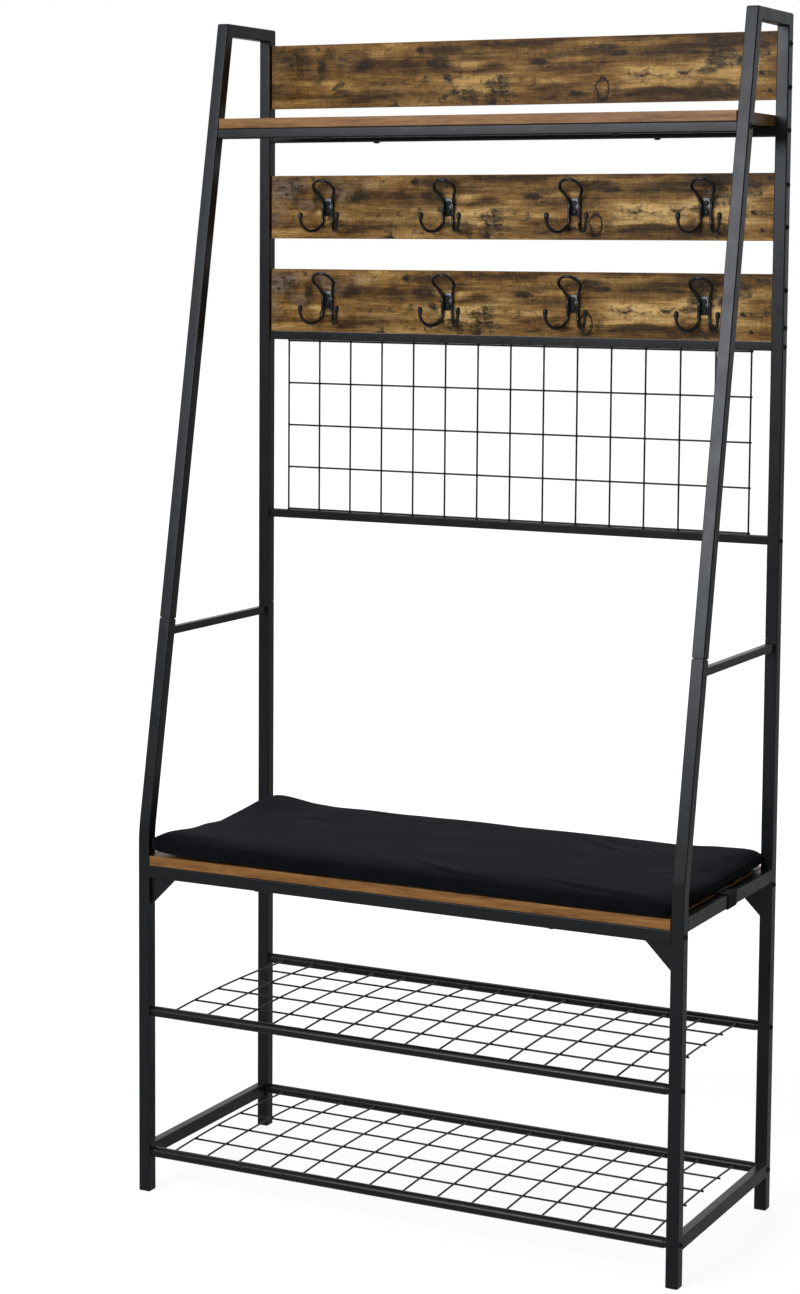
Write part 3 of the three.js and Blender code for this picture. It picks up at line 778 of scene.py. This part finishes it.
def shelf_panel(level, z, coat):
    """Cross wires arched a little over the two tubes, and long wires welded below them."""
    reach = INNER_Y + 1.8 * MM
    camber_reach = POST_Y - 8.3 * MM

    def height(y):
        return z + 1 * MM + CAMBER * (1 - min(1, (y / camber_reach) ** 2))

    parts = []
    for i in range(WIRE_COUNT):
        line = [(wire_x(i), y, height(y)) for y in np.linspace(-reach, reach, 25)]
        parts.append(rod(line, WIRE))
        for sign in (-1, 1):
            spot = (wire_x(i), sign * (reach + 0.4 * MM), z + 1 * MM)
            parts.append(blob(spot, (2.4 * MM, 2.0 * MM, 2.0 * MM), i))
    end = wire_x(WIRE_COUNT - 1) + 3 * MM
    for y in LONG_WIRES:
        y *= MM
        low = height(y) - 2.5 * MM
        parts.append(rod([(x, y, low) for x in np.linspace(-end, end, 3)], WIRE))
        for i in range(WIRE_COUNT):
            parts.append(blob((wire_x(i), y, low + 1.25 * MM), (2.1 * MM, 2.1 * MM, 1.3 * MM), i + 7, 8, 5))
    name = level + "_shelf_"
    piece(name + "wires", merge(parts), coat, "wire", name + "mesh", weighted=False)


def grid_panel(coat):
    """Upright wires in front of five level ones, welded at each crossing."""
    low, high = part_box("back_grid")
    y = POST_Y - 1 * MM
    parts = []
    for i in range(WIRE_COUNT):
        parts.append(rod([(wire_x(i), y, low.z - 0.5 * MM), (wire_x(i), y, high.z + 0.5 * MM)], WIRE))
        for z in (low.z, high.z):
            parts.append(blob((wire_x(i), y, z), (2.3 * MM, 2.2 * MM, 1.6 * MM), i))
    end = wire_x(WIRE_COUNT - 1) + 1.6 * MM
    for row in range(GRID_ROWS):
        z = low.z + WIRE + row * (high.z - low.z - 2 * WIRE) / (GRID_ROWS - 1)
        parts.append(rod([(-end, y + 2.5 * MM, z), (end, y + 2.5 * MM, z)], WIRE))
        for i in range(WIRE_COUNT):
            parts.append(blob((wire_x(i), y + 1.25 * MM, z), (2.1 * MM, 1.3 * MM, 2.1 * MM), i + 3, 8, 5))
    piece("back_grid_wires", merge(parts), coat, "wire", "back_grid", weighted=False)


def build_wire_shelves(coat, wire_coat):
    for level, z in (("mid", MID_Z), ("base", BASE_Z)):
        for end in ("front", "rear"):
            node = level + "_shelf_" + end + "_tube"
            shelf_tube(node, node + "_round", coat)
        shelf_panel(level, z, wire_coat)
    grid_panel(wire_coat)


def finish_gussets(coat):
    """The CAD plates stay. A small bevel softens their edges."""
    for corner in CORNERS:
        plate = NODES[corner + "_gusset"]
        paint(plate, coat)
        bevel = plate.modifiers.new("soft_edges", "BEVEL")
        bevel.width = 0.4 * MM
        bevel.segments = 2


def paint(obj, material):
    obj.data.materials.clear()
    obj.data.materials.append(material)


# ---- boards ----
def board(node, name, face_material, edge_material, face_axis):
    """Laminated board: printed faces across face_axis, plain taped edges, slightly eased arrises."""
    low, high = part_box(node)
    bm = bmesh.new()
    bmesh.ops.create_cube(bm, size=1)
    bmesh.ops.transform(
        bm, verts=bm.verts,
        matrix=Matrix.Translation((low + high) / 2) @ Matrix.Diagonal((*(high - low), 1)))
    bmesh.ops.bevel(bm, geom=bm.edges[:], offset=0.55 * MM, segments=2, affect="EDGES", profile=0.5)
    for face in bm.faces:
        face.material_index = 0 if abs(face.normal[face_axis]) > 0.95 else 1
        face.smooth = True
    mesh = bpy.data.meshes.new(name)
    bm.to_mesh(mesh)
    bm.free()
    mesh.materials.append(face_material)
    mesh.materials.append(edge_material)
    obj = add_object(name, mesh)
    obj.modifiers.new("weighted", "WEIGHTED_NORMAL")
    place(obj, "board", node)


# The same print runs over the three back boards: its shift in x and z (mm), tint and strength of the
# painted sheen (a painted reflection of the light) on each.
BACK_BOARDS = (
    ("top_back_board", 0, 0, (0.84, 0.80, 0.68), 0.3),
    ("upper_hook_board", -8, 2, None, 1.0),
    ("lower_hook_board", -22, 0, None, 1.0),
)
# Where the print is centred on the level boards.
LEVEL_BOARDS = (("bench_board", (0.2, 0.1, 0)), ("hat_shelf_board", (-0.15, 0.06, 0)))


def build_boards():
    edge = edge_band()
    for node, shift_x, shift_z, tint, wear_and_painted_sheen in BACK_BOARDS:
        centre = Vector((shift_x * MM, 0, cad_middle(node, 2) + shift_z * MM))
        face = laminate("laminate_" + node, centre, tint=tint, wear_and_painted_sheen=wear_and_painted_sheen)
        board(node, node + "_panel", face, edge, 1)
    for node, centre in LEVEL_BOARDS:
        board(node, node + "_panel", laminate("laminate_" + node, centre, swap=True), edge, 2)


RAIL_SCREW_X = {"hat_shelf": 237.5 * MM, "bench": 241 * MM}
RAIL_SCREW_HEAD = (5.2 * MM, 2.8 * MM)


def build_underside_screws(coat):
    heads = []
    for name, x in RAIL_SCREW_X.items():
        for end in ("_front_rail", "_rear_rail"):
            low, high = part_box(name + end)
            for sign in (-1, 1):
                spot = (sign * x, (low.y + high.y) / 2, low.z)
                heads.append(dome(spot, (0, 0, -1), *RAIL_SCREW_HEAD))
    piece("rail_screws", merge(heads), coat, "frame", weighted=False)


# ---- coat hooks ----
HOOK_WIRE = 2.5 * MM
HOOK_STEM = 8.5 * MM
HOOK_STEM_TOP = 14 * MM
HOOK_STEM_BOTTOM = -18.3 * MM
HOOK_RADIUS = 19.3 * MM
HOOK_SPLAY = math.radians(39)
HOOK_TIP_RISE = 10.5 * MM
LOOP_RADIUS = 17.5 * MM
LOOP_CENTRE = 20.5 * MM
LOOP_LEAN = math.radians(43)
PLATE = (18 * MM, 1.8 * MM, 28 * MM)
HOOK_ROWS = (("upper", 1517.5), ("lower", 1371))
HOOK_COLUMNS = (-320.2, -106.8, 106.8, 320.2)


def hook_half():
    """Right half of the bent wire, from its tip to the top of the loop."""
    wire_y = -PLATE[1] - HOOK_WIRE + 0.3 * MM

    def along_j(reach, z):
        x = HOOK_STEM + reach * math.sin(HOOK_SPLAY)
        return Vector((x, wire_y - reach * math.cos(HOOK_SPLAY), z))

    half = [along_j(2 * HOOK_RADIUS, HOOK_STEM_BOTTOM + HOOK_TIP_RISE * s) for s in (1, 0.66, 0.33)]
    for angle in np.linspace(0, math.pi, 13):
        reach = HOOK_RADIUS * (1 + math.cos(angle))
        half.append(along_j(reach, HOOK_STEM_BOTTOM - HOOK_RADIUS * math.sin(angle)))
    half += [along_j(0, z * MM) for z in (-9, 0, 8)]
    start = math.radians(-38)
    for angle in np.linspace(start, math.pi / 2, 11):
        lean = LOOP_CENTRE + LOOP_RADIUS * math.sin(angle)
        half.append(Vector((
            LOOP_RADIUS * math.cos(angle),
            wire_y - lean * math.sin(LOOP_LEAN),
            HOOK_STEM_TOP + lean * math.cos(LOOP_LEAN),
        )))
    return half


def smooth_path(points, per_span=5):
    """Catmull-Rom points through a list of points."""
    path = []
    for i in range(len(points) - 1):
        p0, p1 = points[max(i - 1, 0)], points[i]
        p2, p3 = points[i + 1], points[min(i + 2, len(points) - 1)]
        for step in range(per_span):
            t = step / per_span
            path.append(0.5 * (
                2 * p1 + (p2 - p0) * t + (2 * p0 - 5 * p1 + 4 * p2 - p3) * t ** 2
                + (3 * p1 - p0 - 3 * p2 + p3) * t ** 3))
    path.append(points[-1].copy())
    return path


def hook_shape():
    """Bent wire with swollen tips, its plate and the weld lumps between them."""
    half = hook_half()
    mirrored = [Vector((-p.x, p.y, p.z)) for p in half]
    path = smooth_path(mirrored + half[:-1][::-1], 4)
    travelled = [0.0]
    for a, b in zip(path, path[1:]):
        travelled.append(travelled[-1] + (b - a).length)
    radii = []
    for s in travelled:
        end = min(s, travelled[-1] - s)
        swell = max(0.0, 1 - abs(end - 5.5 * MM) / (6.5 * MM))
        closing = math.sqrt(max(0.02, 1 - max(0.0, 1 - end / (3 * MM)) ** 2))
        radii.append((HOOK_WIRE + 1.35 * MM * min(1, swell * 1.7)) * closing)
    parts = [rod(path, HOOK_WIRE, 16, radii)]
    section = rounded_section(PLATE[0], PLATE[2], 3 * MM, 5)
    inset = rounded_section(PLATE[0] - 0.6 * MM, PLATE[2] - 0.6 * MM, 2.8 * MM, 5)
    levels = ((section, 0.05), (section, -PLATE[1] / MM + 0.3), (inset, -PLATE[1] / MM))
    parts.append(skin([[Vector((a, y * MM, b)) for a, b in ring] for ring, y in levels]))
    for sign in (-1, 1):
        for z in (-11, -4, 4, 11):
            centre = (sign * 7 * MM, -2.0 * MM, z * MM)
            parts.append(blob(centre, (2.0 * MM, 1.1 * MM, 2.6 * MM), z + sign))
    return merge(parts)


def hook_screw_shape():
    """Two round heads, one above the other on the plate."""
    spots = [(0, -PLATE[1], z * MM) for z in (-6.3, 6.3)]
    return merge([dome(spot, (0, -1, 0), 3.9 * MM, 2.2 * MM, 0.35) for spot in spots])


def build_hooks(enamel, coat):
    wire, screws = hook_shape(), hook_screw_shape()
    for row, z in HOOK_ROWS:
        for i, x in enumerate(HOOK_COLUMNS, 1):
            spot = Vector((x * MM, BOARD_FRONT - 0.1 * MM, z * MM))
            name = "{}_coat_hook_{}".format(row, i)
            hook, pair = (([v + spot for v in shape[0]], shape[1]) for shape in (wire, screws))
            piece(name, hook, enamel, "hook", "{}_hook_{}".format(row, i), weighted=False)
            piece(name + "_screws", pair, coat, "hook", weighted=False)


# ---- seat pad ----
PAD_SHRINK = 3 * MM
PAD_VOXEL = 6 * MM
PAD_CAP = 6 * MM
PAD_CORNER = 9 * MM
PAD_REACH = ((5, 8), (13, 4))  # past its CAD box: left and right, front and rear, mm
SIM_FRAMES = 20
# How far the pad's corners lift off the board, and how far the straps draw its ends down and in.
LIFT_LEFT_FRONT = 5.5 * MM
LIFT_LEFT_REAR = 8.0 * MM
LIFT_RIGHT_FRONT = 0.8 * MM
LIFT_RIGHT_REAR = 2.6 * MM
STRAP_PULL = 3.0 * MM
STRAP_Y = -0.002
# Soft folds on top of the pad: start and end (x, y), half width and height, mm.
FOLDS = (
    (-15, -128, 112, -186, 6, 1.5), (40, -160, 170, -184, 6, 1.1), (200, -150, 380, -182, 6, 1.5),
    (190, -172, 330, -190, 5, 1.2), (150, 128, 280, 40, 7, 1.6), (190, 140, 330, 70, 8, 1.0),
    (-255, 163, -90, 104, 9, 1.2), (-335, 30, -240, 70, 10, 0.8), (-395, -70, -330, -20, 7, 0.8),
    (330, -60, 400, -20, 7, 0.9),
)


def pad_blank(low, high):
    """Rounded slab, a little smaller than the pad, for the cloth to swell from."""
    middle = (low + high) / 2
    width, depth = high.x - low.x - 2 * PAD_SHRINK, high.y - low.y - 2 * PAD_SHRINK
    base, top = low.z + 0.5 * MM, high.z - 3.5 * MM
    levels = ((-5, base), (-1.5, base + 2 * MM), (0, base + 6 * MM),
              (0, top - 5 * MM), (-1.5, top - 1.5 * MM), (-5, top))
    rings = []
    for inset, z in levels:
        grow = inset * MM
        outline = rounded_section(width + 2 * grow, depth + 2 * grow, PAD_CORNER + grow, 6)
        rings.append([Vector((middle.x + a, middle.y + b, z)) for a, b in outline])
    obj = mesh_object("pad", skin(rings), weighted=False)
    remesh = obj.modifiers.new("remesh", "REMESH")
    remesh.mode = "VOXEL"
    remesh.voxel_size = PAD_VOXEL
    remesh.use_smooth_shade = True
    keep_evaluated(obj)
    return obj


def keep_evaluated(obj):
    """Replaces an object's mesh with its evaluated one and drops the modifiers."""
    graph = bpy.context.evaluated_depsgraph_get()
    mesh = bpy.data.meshes.new_from_object(obj.evaluated_get(graph))
    obj.modifiers.clear()
    obj.data = mesh


def coordinates(mesh):
    flat = np.empty(len(mesh.vertices) * 3)
    mesh.vertices.foreach_get("co", flat)
    return flat.reshape(-1, 3)


def set_coordinates(mesh, points):
    mesh.vertices.foreach_set("co", points.ravel())
    mesh.update()


def swell(obj):
    """Inflates the cover as cloth, with a cap on how far any point may move."""
    start = coordinates(obj.data)
    cloth = obj.modifiers.new("cloth", "CLOTH")
    settings = cloth.settings
    settings.quality = 6
    settings.mass = 0.25
    settings.tension_stiffness = settings.compression_stiffness = 12
    settings.shear_stiffness = 6
    settings.bending_stiffness = 0.4
    settings.use_pressure = True
    settings.uniform_pressure_force = 4
    settings.effector_weights.gravity = 0
    cloth.collision_settings.use_collision = False
    cloth.point_cache.frame_start, cloth.point_cache.frame_end = 1, SIM_FRAMES
    scene = bpy.context.scene
    for number in range(1, SIM_FRAMES + 1):
        scene.frame_set(number)
    keep_evaluated(obj)
    scene.frame_set(1)
    moved = coordinates(obj.data) - start
    length = np.linalg.norm(moved, axis=1, keepdims=True)
    moved *= np.minimum(1, PAD_CAP / np.maximum(length, 1e-9))
    return start + moved


def spread(points, low, high):
    """Stretches the pad in plan until it fills its CAD box again, and reaches a little past it."""
    for axis, (before, after) in enumerate(PAD_REACH):
        start, end = low[axis] - before * MM, high[axis] + after * MM
        least, most = points[:, axis].min(), points[:, axis].max()
        points[:, axis] = start + (points[:, axis] - least) * (end - start) / (most - least)
    return points


def smooth_step(value, low, high):
    t = np.clip((value - low) / (high - low), 0, 1)
    return t * t * (3 - 2 * t)


def settle(points, low, high):
    """Rests the pad on the board, with lifted corners, strapped ends, soft folds and ripples."""
    points = points.copy()
    x, y, z = points.T
    half_x, half_y = high.x, (high.y - low.y) / 2
    middle_y = (high.y + low.y) / 2
    across = (y - middle_y) / half_y
    height = np.clip((z - low.z) / (high.z - low.z), 0, 1)
    left, right = smooth_step(-x, 0.300, half_x), smooth_step(x, 0.330, half_x)
    front, rear = smooth_step(-across, 0.15, 1.0), smooth_step(across, 0.1, 1.0)
    z += (LIFT_LEFT_FRONT * left * front + LIFT_LEFT_REAR * left * rear
          + LIFT_RIGHT_REAR * right * rear + LIFT_RIGHT_FRONT * right * front)
    z += 2.2 * MM * smooth_step(-across, 0.55, 1.0) * smooth_step(-x, -0.05, 0.35)
    z -= 2.0 * MM * height * smooth_step(-across, 0.35, 1.0) * smooth_step(x, -0.25, 0.1)
    strap = np.exp(-((y - STRAP_Y) / 0.030) ** 2)
    for end, reach in ((left, -1), (right, 1)):
        z -= STRAP_PULL * height * strap * end ** 1.5
        waist = np.exp(-((y - STRAP_Y) / 0.075) ** 2)
        x -= reach * STRAP_PULL * waist * end ** 3 * (0.4 + 0.6 * height)
    # Both ends bulge behind their front corners.
    x += 6.0 * MM * smooth_step(x, 0.36, half_x) * smooth_step(y, -0.165, -0.06)
    bulge = smooth_step(-x, 0.36, half_x) * smooth_step(y, -0.14, -0.04)
    x -= 4.0 * MM * bulge * (1 - smooth_step(y, 0.12, 0.16))
    # The corners draw in, and so does the middle of the front edge.
    pull = smooth_step(np.abs(x) / half_x, 0.9, 1.0) * smooth_step(np.abs(across), 0.86, 1.0)
    x -= np.sign(x) * 0.5 * MM * pull
    y -= np.sign(across) * 0.5 * MM * pull
    y += 2.0 * MM * np.exp(-((x / half_x) / 0.6) ** 2) * smooth_step(-across, 0.5, 1.0)
    points = np.stack([x, y, z], axis=1)

    top = smooth_step(height, 0.55, 0.95)
    for x0, y0, x1, y1, half_width, rise in FOLDS:
        a, b = np.array((x0, y0)) * MM, np.array((x1, y1)) * MM
        along = b - a
        offset = points[:, :2] - a
        share = np.clip(offset @ along / (along @ along), 0, 1)
        near = offset - share[:, None] * along
        cross = (offset[:, 0] * along[1] - offset[:, 1] * along[0]) / np.linalg.norm(along)
        distance = np.linalg.norm(near, axis=1) / (half_width * MM)
        fade = np.sin(math.pi * np.clip(share, 0.02, 0.98)) ** 0.6
        ridge = np.exp(-distance ** 2) - 0.55 * np.exp(-((distance - 1.7 * np.sign(cross)) / 1.0) ** 2)
        points[:, 2] += rise * MM * ridge * fade * top
    for i, (px, py, pz) in enumerate(points):
        broad = noise.noise(Vector((px * 9, py * 14, pz * 20)))
        ripple = noise.noise(Vector((px * 34 + 5, py * 30, pz * 60)))
        edge = max(abs(px) / half_x, abs(py - middle_y) / half_y)
        points[i, 2] += (1.1 * broad + 0.45 * ripple * edge) * MM * top[i]
        if edge > 0.96:
            points[i, 0] += 0.5 * MM * ripple
            points[i, 1] += 0.5 * MM * broad
    points[:, 2] = np.maximum(points[:, 2], low.z + 0.3 * MM)
    return clear_posts(points)


def clear_posts(points):
    """Keeps the corners of the pad out of the four posts."""
    gap = 1.2 * MM
    past_x = np.abs(points[:, 0]) - (INNER_X - gap)
    past_y = np.abs(points[:, 1]) - (INNER_Y - gap)
    inside = (past_x > 0) & (past_y > 0)
    by_x = inside & (past_x < past_y)
    by_y = inside & ~by_x
    points[by_x, 0] = np.sign(points[by_x, 0]) * (INNER_X - gap)
    points[by_y, 1] = np.sign(points[by_y, 1]) * (INNER_Y - gap)
    return points


def build_pad(fabric):
    low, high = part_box("seat_pad")
    obj = pad_blank(low, high)
    blank = coordinates(obj.data)
    points = swell(obj)
    points = settle(spread(points, low, high), low, high)
    set_coordinates(obj.data, points)
    smooth = obj.modifiers.new("smooth", "SUBSURF")
    smooth.levels = smooth.render_levels = 1
    keep_evaluated(obj)
    obj.data.polygons.foreach_set("use_smooth", [True] * len(obj.data.polygons))
    paint(obj, fabric)
    place(obj, "fabric", "seat_pad")
    pad_seams(blank, points, fabric)


def pad_seams(blank, points, fabric):
    """Sewn edges: a thin raised line round the top of the boxing and another round its foot."""
    least, most = blank.min(axis=0), blank.max(axis=0)
    middle = (least + most) / 2
    size = most - least
    outline = dense(rounded_section(size[0], size[1], PAD_CORNER, 6), 4 * MM)
    parts = []
    for share, radius in ((0.84, 0.85), (0.16, 0.7)):
        line = []
        for x, y in outline:
            spot = np.array((middle[0] + x, middle[1] + y, least[2] + share * size[2]))
            distance = np.linalg.norm(blank - spot, axis=1)
            nearest = np.argpartition(distance, 6)[:6]
            weight = 1 / (distance[nearest] + 0.5 * MM) ** 2
            line.append((points[nearest] * weight[:, None]).sum(axis=0) / weight.sum())
        line = relax(np.array(line), 3)
        outward = np.roll(line, -1, axis=0) - np.roll(line, 1, axis=0)
        outward = np.stack([outward[:, 1], -outward[:, 0], np.zeros(len(line))], axis=1)
        outward /= np.linalg.norm(outward, axis=1, keepdims=True)
        parts.append(loop_rod(line + outward * 0.5 * MM, radius * MM))
    piece("pad_seams", merge(parts), fabric, "fabric", weighted=False)


def dense(outline, step):
    """Points every step or less along a closed outline."""
    points = []
    for (ax, ay), (bx, by) in zip(outline, outline[1:] + outline[:1]):
        count = max(1, int(math.hypot(bx - ax, by - ay) / step))
        points += [(ax + (bx - ax) * k / count, ay + (by - ay) * k / count) for k in range(count)]
    return points


def relax(line, times):
    for _ in range(times):
        line = line * 0.5 + (np.roll(line, 1, axis=0) + np.roll(line, -1, axis=0)) * 0.25
    return line


def loop_rod(line, radius, sides=8):
    """Closed round cord along a loop of points."""
    count = len(line)
    vertices, faces = [], []
    for i in range(count):
        along = Vector(line[(i + 1) % count] - line[i - 1]).normalized()
        up = Vector((0, 0, 1))
        across = along.cross(up).normalized()
        for k in range(sides):
            angle = 2 * math.pi * k / sides
            vertices.append(Vector(line[i]) + radius * (math.cos(angle) * across + math.sin(angle) * up))
    for i in range(count):
        j = (i + 1) % count
        for k in range(sides):
            m = (k + 1) % sides
            faces.append((i * sides + k, i * sides + m, j * sides + m, j * sides + k))
    return vertices, faces


# ---- pad straps ----
STRAP_WIDTH = 33 * MM
STRAP_THICK = 1.5 * MM


def strap_path(sign):
    """Centre line of a strap: off the pad's end, round the side rail and under the board."""
    rail_top = SEAT_RAIL_Z + TUBE / 2
    rail_low = SEAT_RAIL_Z - TUBE / 2
    clear = 0.35 * MM + STRAP_THICK / 2
    end = cad_span("seat_pad", 0)[1]
    points = [(end - 6 * MM, BENCH_TOP + 5 * MM), (end + 1 * MM, BENCH_TOP + 3 * MM),
              (INNER_X, BENCH_TOP + clear + 0.4 * MM), (HALF_W - 3 * MM, rail_top + clear)]
    for angle in np.linspace(math.pi / 2, -math.pi / 2, 9):
        centre_z = rail_top - 1.5 * MM if angle > 0 else rail_low + 1.5 * MM
        points.append((HALF_W - 1.5 * MM + (1.5 * MM + clear) * math.cos(angle),
                       centre_z + (1.5 * MM + clear) * math.sin(angle)))
    points += [(HALF_W - 8 * MM, rail_low - clear), (INNER_X, rail_low - clear),
               (INNER_X - 9 * MM, BENCH_LOW - clear), (INNER_X - 70 * MM, BENCH_LOW - clear)]
    return smooth_path([Vector((sign * x, 0, z)) for x, z in points], 4)


def build_straps(material, plastic):
    for side, sign in SIDES:
        path = strap_path(sign)
        rings = []
        for i, point in enumerate(path):
            along = (path[min(i + 1, len(path) - 1)] - path[max(i - 1, 0)]).normalized()
            across = Vector((0, 1, 0))
            up = along.cross(across)
            sway = 1.0 * MM * math.sin(i * 0.12)
            section = rounded_section(STRAP_WIDTH, STRAP_THICK, 0.6 * MM, 3)
            rings.append([point + across * (a + sway) + up * b for a, b in section])
        piece(side + "_strap", skin(rings), material, "webbing", side + "_pad_strap")
        piece(side + "_strap_buckle", buckle(sign), plastic, "plastic", weighted=False)


def buckle(sign):
    """Slide buckle: a frame of four bars and one across the middle, lying on the strap."""
    x, z = sign * (INNER_X - 5 * MM), BENCH_TOP + 3.6 * MM
    half_x, half_y = 8 * MM, STRAP_WIDTH / 2 + 3 * MM
    lines = [((x + dx, -half_y, z), (x + dx, half_y, z)) for dx in (-half_x, 0, half_x)]
    lines += [((x - half_x, y, z), (x + half_x, y, z)) for y in (-half_y, half_y)]
    return merge([bar(*line, 3 * MM, 2.2 * MM, 0.9 * MM) for line in lines])


# ---- studio ----
# Strength of the surroundings, from in front of the object's right to behind its left, and the
# glow of the floor in the camera, from near the object to the horizon.
AROUND = (-0.3, 1.33, 0.15, 0.82)
FLOOR_GLOW = (0.7, 2.6, 0.84, 1.02)
FLOOR_MIRROR = 0.15


def softbox(name, location, target, size, radiance, colour=(1, 1, 1), mirrored=True):
    light = bpy.data.lights.new(name, "AREA")
    light.shape = "RECTANGLE"
    light.size, light.size_y = size
    light.energy = radiance * math.pi * size[0] * size[1]
    light.color = colour
    obj = add_object(name, light)
    obj.location = location
    obj.rotation_euler = (Vector(target) - Vector(location)).to_track_quat("-Z", "Y").to_euler()
    obj.visible_glossy = mirrored


def build_world(world):
    """White to the camera. Everything else sees a dim room that is brighter towards the left rear."""
    world.use_nodes = True
    tree = world.node_tree
    tree.nodes.clear()

    def add(kind, *sources, **settings):
        node = tree.nodes.new("ShaderNode" + kind)
        for key, value in settings.items():
            setattr(node, key, value)
        for socket, source in zip(node.inputs, sources):
            if isinstance(source, bpy.types.NodeSocket):
                tree.links.new(source, socket)
            else:
                socket.default_value = source
        return node.outputs

    across = add("SeparateXYZ", add("TexCoord")["Generated"])
    towards = add("Math", across["Y"], across["X"], operation="SUBTRACT")
    strength = add("MapRange", towards[0], *AROUND)["Result"]
    around = add("Background", (0.95, 0.98, 1.0, 1), strength)
    seen = add("Background", (1, 1, 1, 1), 1.0)
    mix = add("MixShader", add("LightPath")["Is Camera Ray"], around[0], seen[0])
    add("OutputWorld", mix[0])


def build_floor():
    """Pale floor whose brightness rises to white with the distance from the object."""
    mesh = bpy.data.meshes.new("floor")
    mesh.from_pydata([(-30, -30, 0), (30, -30, 0), (30, 30, 0), (-30, 30, 0)], [], [(0, 1, 2, 3)])
    s = Shader("pale_floor", roughness=0.9, specular=0.0)
    s.finish(s.ramp(s.noise(3), ((0.3, (0.245, 0.245, 0.245)), (0.7, (0.255, 0.255, 0.255)))))
    ray = s.add("ShaderNodeLightPath").outputs
    glow = s.span(s.length(s.coordinates), *FLOOR_GLOW, smooth=True)
    strength = s.weigh((glow, ray["Is Camera Ray"]), (ray["Is Glossy Ray"], FLOOR_MIRROR))
    s.connect((1, 1, 1, 1), s.principled.inputs["Emission Color"])
    s.connect(strength, s.principled.inputs["Emission Strength"])
    mesh.materials.append(s.material)
    add_object("floor", mesh)


def build_studio():
    scene = bpy.context.scene
    scene.view_settings.view_transform = "Standard"
    scene.world = bpy.data.worlds.new("studio")
    build_world(scene.world)
    softbox("key", (-1.1, -3.9, 2.68), (0, 0, 1.3), (2.5, 1.95), 7.3, (0.93, 0.96, 1.05))
    softbox("overhead", (0, -0.3, 4.4), (0, 0, 0), (4.0, 3.4), 0.6)
    softbox("front_fill", (0.6, -4.4, 1.2), (0, 0, 1.2), (3.0, 2.2), 4.4, mirrored=False)
    softbox("rear_fill", (-1.2, 4.0, 1.9), (0, 0, 1.1), (3.0, 2.2), 2.4, mirrored=False)
    build_floor()


def main():
    make_camera()
    build_studio()
    coat = powder_coat("frame_coat", (0.0046, 0.0049, 0.0053), (0.0076, 0.0080, 0.0086))
    wire_coat = powder_coat("wire_coat", (0.0046, 0.0049, 0.0052), (0.0075, 0.0079, 0.0084), 0.32)
    plastic = moulded_plastic()
    build_side_frames(coat, plastic)
    build_cross_bars(coat)
    build_wire_shelves(coat, wire_coat)
    finish_gussets(coat)
    build_boards()
    build_underside_screws(coat)
    build_hooks(hook_enamel(), wire_coat)
    build_pad(cover_fabric())
    build_straps(webbing(), plastic)
    for corner in CORNERS:
        paint(NODES[corner + "_spigot"], plastic)


main()
